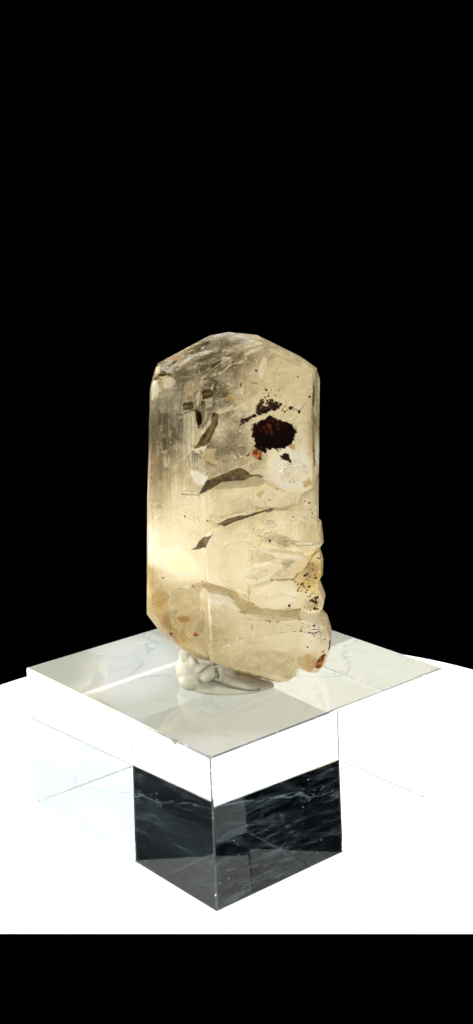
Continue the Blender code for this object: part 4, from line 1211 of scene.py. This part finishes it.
def quartz():
    """The clear and the milky stone, mixed by the light of each place, under rust and iron."""
    look = Finish("clear and milky quartz")
    ragged = look.noise(0.8, detail=6, rough=0.75) - 0.5
    ledge = (look.painted("dark") + ragged * 0.25).ramp(0.05, -0.05)
    flake = (look.painted("flake") + ragged * 0.5).ramp(0.06, -0.06)
    rust = (look.painted("rust") * (look.noise(0.9, detail=6, rough=0.7).ramp(0.28, 0.55) * 1.6)).clamped()
    iron, core = iron_cover(look, ragged)
    opaque = iron.most(flake * 0.95).most(ledge * 0.92)
    shattered, splinter_relief = splinters(look, look.painted("shards"))
    light = look.painted("tone") + growth(look) + shattered + fine_lines(look, ragged)
    warmth = look.painted("warmth")
    colour = look.mixed(rust, stone_colour(look, light, warmth), RUST)
    colour = look.mixed(flake, colour, flake_colour(look))
    # Painted shade over the dark slots and cracks.
    colour = look.mixed(ledge, colour, slot_shade_colour(look))
    colour = look.mixed(iron, colour, oxide_colour(look, core))
    rough = look.noise(2.5, detail=5).ramp(0.4, 0.8, 0.03, 0.14)
    fine = look.noise(0.6, detail=6, rough=0.6) * 0.4 + splinter_relief * 0.9
    fine = fine + look.noise(3.0, detail=4, stretch=(0.25, 1, 3)) * 0.5
    normal = look.bump(fine, 0.15 * MM, 0.6)
    clear = look.surface(Base_Color=(1.0, 0.99, 0.96), Roughness=rough, IOR=QUARTZ_IOR,
                         Transmission_Weight=1.0, Normal=normal)
    body = look.surface(Base_Color=colour, Roughness=rough + opaque * 0.3 + 0.08, IOR=QUARTZ_IOR,
                        Specular_IOR_Level=0.2, Subsurface_Weight=0.15, Subsurface_Radius=(1.0, 0.8, 0.55),
                        Subsurface_Scale=0.2 * MM, Coat_Weight=(opaque * -0.5 + 0.5).clamped(),
                        Coat_Roughness=0.03, Coat_IOR=1.45, Normal=normal)
    through = look.blended((0.45 - light * 0.5 + warmth * 0.4).clamped(),
                           look.lit_through(Color=(0.98, 0.93, 0.73), Normal=normal),
                           look.lit_through(Color=(0.60, 0.42, 0.16), Normal=normal))
    glowing = ((light * 0.30 + 0.24) * (1 - opaque) * (1 - rust * 0.6)).clamped()
    milk = ((light * 0.25 + 0.86 - look.painted("clear") * 0.38).clamped()).most(opaque).most(rust * 0.8)
    return look.wear(look.blended(milk, clear, look.blended(glowing, body, through)),
                     look.tinted_inside(QUARTZ_TINT, QUARTZ_DENSITY))


SHARP_CRYSTAL = math.radians(14)  # faces that meet at more than this keep their edge

crystal.data.materials.append(quartz())
pick(crystal)
bpy.ops.object.shade_smooth_by_angle(angle=SHARP_CRYSTAL)
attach(crystal, "root")
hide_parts("gwindel_quartz")
print("crystal finished with", len(crystal.data.materials[0].node_tree.nodes), "nodes")


# %% [markdown]
# ## The putty
#
# Mineral tack is a soft putty. It was kneaded and pressed under the crystal's raised corner, so it
# has round lumps with folds pressed shut between them. Cloth simulation doesn't suit a dough that
# holds its shape. The lumps start as balls squeezed to size, a voxel remesh melts them into one skin,
# and the crystal's own foot dents it. The folds are pressed in last, along drawn courses, by moving
# points in code, because the remesh would melt such narrow folds shut.

# %% Lumps kneaded together: middle and radii in mm (x, y, h), and a turn about y in degrees
LUMPS = [
    ((-5.6, -5.4, 2.5), (3.5, 4.6, 3.2), 0), ((-6.7, -6.6, 2.5), (2.6, 3.6, 2.8), 10),
    ((-7.0, -5.8, 4.8), (1.7, 2.8, 1.8), 20), ((-6.4, -8.6, 1.5), (2.4, 2.8, 1.7), 0),
    ((-6.1, -7.8, 4.6), (1.0, 1.9, 1.2), 0), ((-4.2, -8.2, 4.8), (2.0, 2.0, 1.0), 14),
    ((-4.7, -9.0, 3.7), (1.6, 1.6, 0.9), -20), ((-3.8, -10.0, 2.7), (1.8, 1.5, 0.95), -32),
    ((-1.8, -9.9, 2.8), (0.8, 1.5, 1.3), 0), ((-0.4, -9.8, 2.4), (1.4, 1.5, 1.2), 20),
    ((1.8, -9.7, 1.5), (2.5, 1.5, 0.85), 20), ((4.4, -9.4, 0.7), (2.6, 1.8, 0.7), 8),
    ((-0.5, -10.2, 0.4), (6.2, 2.2, 1.0), 2), ((0.0, -6.8, 0.9), (6.2, 4.4, 1.2), 0),
    ((-2.6, -8.0, 2.9), (3.6, 2.4, 2.0), 10), ((1.0, -8.8, 1.1), (4.9, 2.4, 1.1), 8),
    ((-1.0, -2.6, 1.6), (5.4, 4.6, 2.6), 0), ((1.0, 0.4, 1.0), (4.2, 3.2, 1.8), 0),
]
print(len(LUMPS), "lumps")

# %% Folds pressed shut: their course on the front, half their width and their depth in mm
CREASES = [
    ([(-6.4, 6.0), (-5.8, 5.4), (-5.5, 4.6)], 0.22, 0.35),
    ([(-8.3, 5.2), (-7.7, 4.7)], 0.2, 0.25),
    ([(-5.0, 3.4), (-4.4, 4.0), (-3.6, 4.35), (-2.6, 4.5)], 0.2, 0.35),
    ([(-2.5, 4.0), (-2.2, 3.1), (-2.5, 2.3)], 0.22, 0.4),
    ([(-0.8, 3.2), (0.2, 2.4), (0.9, 1.6)], 0.2, 0.2),
    ([(-3.4, 1.75), (-1.1, 1.45), (1.0, 1.1), (2.9, 0.7), (4.6, 0.5)], 0.2, 0.4),
    ([(-5.3, 2.3), (-5.0, 1.7), (-4.4, 1.6)], 0.2, 0.3),
    ([(-7.0, 6.3), (-6.9, 5.8)], 0.16, 0.2),
    ([(1.2, 2.4), (2.6, 1.5), (4.4, 1.0)], 0.25, 0.15),
]
print(len(CREASES), "folds")

# %% A lump, and the mould that dents it
PUTTY_GAP = 0.3   # mm: how far the putty stays off the crystal
FOOT_HEIGHT = 14  # mm: the part of the crystal that dents the putty


def lump(middle, radii, turn):
    """A ball, squeezed, turned and put in its place."""
    bpy.ops.mesh.primitive_uv_sphere_add(segments=32, ring_count=18, radius=1)
    made = bpy.context.object
    made.data.transform(Matrix.Diagonal((*radii, 1)))
    made.data.transform(Matrix.Rotation(math.radians(turn), 4, "Y"))
    made.data.transform(Matrix.Translation(Vector(middle) + Vector((0, 0, BLOCK_TOP / MM))))
    made.data.transform(Matrix.Diagonal((MM, MM, MM, 1)))
    return made


def foot_mould():
    """The crystal's foot, swollen by the putty's gap: what dents the putty."""
    points = spots(frame["nodes"]["gwindel_quartz"].data)
    foot = points[points[:, 2] < FOOT_HEIGHT] + (0, 0, BLOCK_TOP / MM)
    corners = [(x, y, z) for x in (-1, 1) for y in (-1, 1) for z in (-1, 1)]
    swollen = np.concatenate([foot + np.array(corner) * PUTTY_GAP for corner in corners]) * MM
    mesh = bpy.data.meshes.new("foot mould")
    mesh.from_pydata(swollen.tolist(), [], [])
    mould = bpy.data.objects.new("foot mould", mesh)
    bpy.context.scene.collection.objects.link(mould)
    pick(mould)
    edit_all()
    bpy.ops.mesh.convex_hull()
    bpy.ops.mesh.normals_make_consistent(inside=False)
    bpy.ops.object.mode_set(mode="OBJECT")
    return mould


print("the putty stays", PUTTY_GAP, "mm off the crystal")

# %% Modifiers applied, and folds pressed in
def applied(piece, kind, **settings):
    """Add a modifier and apply it."""
    modifier = piece.modifiers.new(kind, kind)
    for name, setting in settings.items():
        setattr(modifier, name, setting)
    unselect()
    bpy.context.view_layer.objects.active = piece
    bpy.ops.object.modifier_apply(modifier=modifier.name)


def press_creases(mesh):
    """Sink the mesh along the folds, and note how deep, for the finish."""
    places = spots(mesh)
    normals = np.empty(len(places) * 3)
    mesh.vertices.foreach_get("normal", normals)
    depth = np.zeros(len(places))
    front = eased(-places[:, 1], 4.0, 5.5) * eased(places[:, 2], 0.1, 0.4)
    for course, half, deep in CREASES:
        near = along(places[:, [0, 2]], course, False)
        depth = np.maximum(depth, deep * np.exp(-(near / half) ** 2) * front)
    places = places - normals.reshape(-1, 3) * depth[:, None] + (0, 0, BLOCK_TOP / MM)
    mesh.vertices.foreach_set("co", (places * MM).ravel())
    mesh.update()
    layer = mesh.attributes.new("crease", "FLOAT", "POINT")
    layer.data.foreach_set("value", depth.astype(np.float32))


print("the deepest fold is", max(deep for _, _, deep in CREASES), "mm deep")

# %% The wad
PUTTY_GRAIN = 0.16  # mm: the remesh's voxel
SOLE = 0.05         # mm: how far its sole stays off the block
SHARP_PUTTY = math.radians(50)  # faces that meet at more than this keep their edge


def kneaded_putty():
    """The lumps melted into one skin, dented, cut flat below and creased."""
    lumps = []
    for middle, radii, turn in LUMPS:
        unselect()
        lumps.append(lump(middle, radii, turn))
    unselect()
    for part in lumps:
        part.select_set(True)
    bpy.context.view_layer.objects.active = lumps[0]
    bpy.ops.object.join()
    putty = bpy.context.object
    putty.name = putty.data.name = "putty"
    putty.matrix_world = Matrix.Identity(4)
    applied(putty, "REMESH", mode="VOXEL", voxel_size=PUTTY_GRAIN * MM)
    applied(putty, "SMOOTH", factor=0.5, iterations=2)
    mould = foot_mould()
    applied(putty, "BOOLEAN", operation="DIFFERENCE", object=mould, solver="EXACT")
    bpy.data.objects.remove(mould)
    edit_all()
    sole = (0, 0, BLOCK_TOP + SOLE * MM)
    bpy.ops.mesh.bisect(plane_co=sole, plane_no=(0, 0, -1), clear_outer=True, use_fill=True)
    bpy.ops.object.mode_set(mode="OBJECT")
    putty.data.validate()  # the cut leaves some of its faces double
    press_creases(putty.data)
    bpy.ops.object.shade_smooth_by_angle(angle=SHARP_PUTTY)
    print("putty mesh:", len(putty.data.polygons), "faces")
    return putty


putty = kneaded_putty()


# %% [markdown]
# ## The finish of the putty
#
# Fresh tack is pale grey with a touch of yellow, and dull, because it is full of chalk. Light goes a
# little way into it. Handling leaves a fine print on it. The fold depth that was noted while pressing
# darkens the colour there, as painted shade in the folds, and a soft brown painted shadow lies at the
# right, under the crystal's lobe.

# %% Putty finish
def putty_finish():
    """Chalky grey, with painted shade in the folds and a painted shadow at the right."""
    look = Finish("mineral putty")
    # The fold depth, which darkens the colour as painted shade in the folds.
    crease = look.painted("crease").ramp(0.12, 0.42)
    body = look.mixed(look.noise(3.0, detail=5).ramp(0.35, 0.65), (0.43, 0.41, 0.30), (0.57, 0.545, 0.41))
    # Painted shadow under the crystal's lobe, at the putty's right.
    lobe_shadow = look.blob((3.4, -10.0, 2.0), (6.0, 5.0, 1.3), math.radians(14)).ramp(1.2, 0.4) * 0.92
    colour = look.mixed(crease * 0.85, look.mixed(lobe_shadow, body, (0.20, 0.15, 0.09)), (0.14, 0.12, 0.075))
    normal = look.bump(look.noise(0.7, detail=5, rough=0.6), 0.06 * MM, 0.6)
    return look.wear(look.surface(Base_Color=colour, Roughness=0.55, Subsurface_Weight=0.15,
                                  Subsurface_Radius=(1.0, 0.9, 0.7), Subsurface_Scale=0.4 * MM,
                                  Normal=normal))


putty.data.materials.clear()
putty.data.materials.append(putty_finish())
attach(putty, "root")
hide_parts("mineral_putty")
print("putty finished with", len(putty.data.materials[0].node_tree.nodes), "nodes")
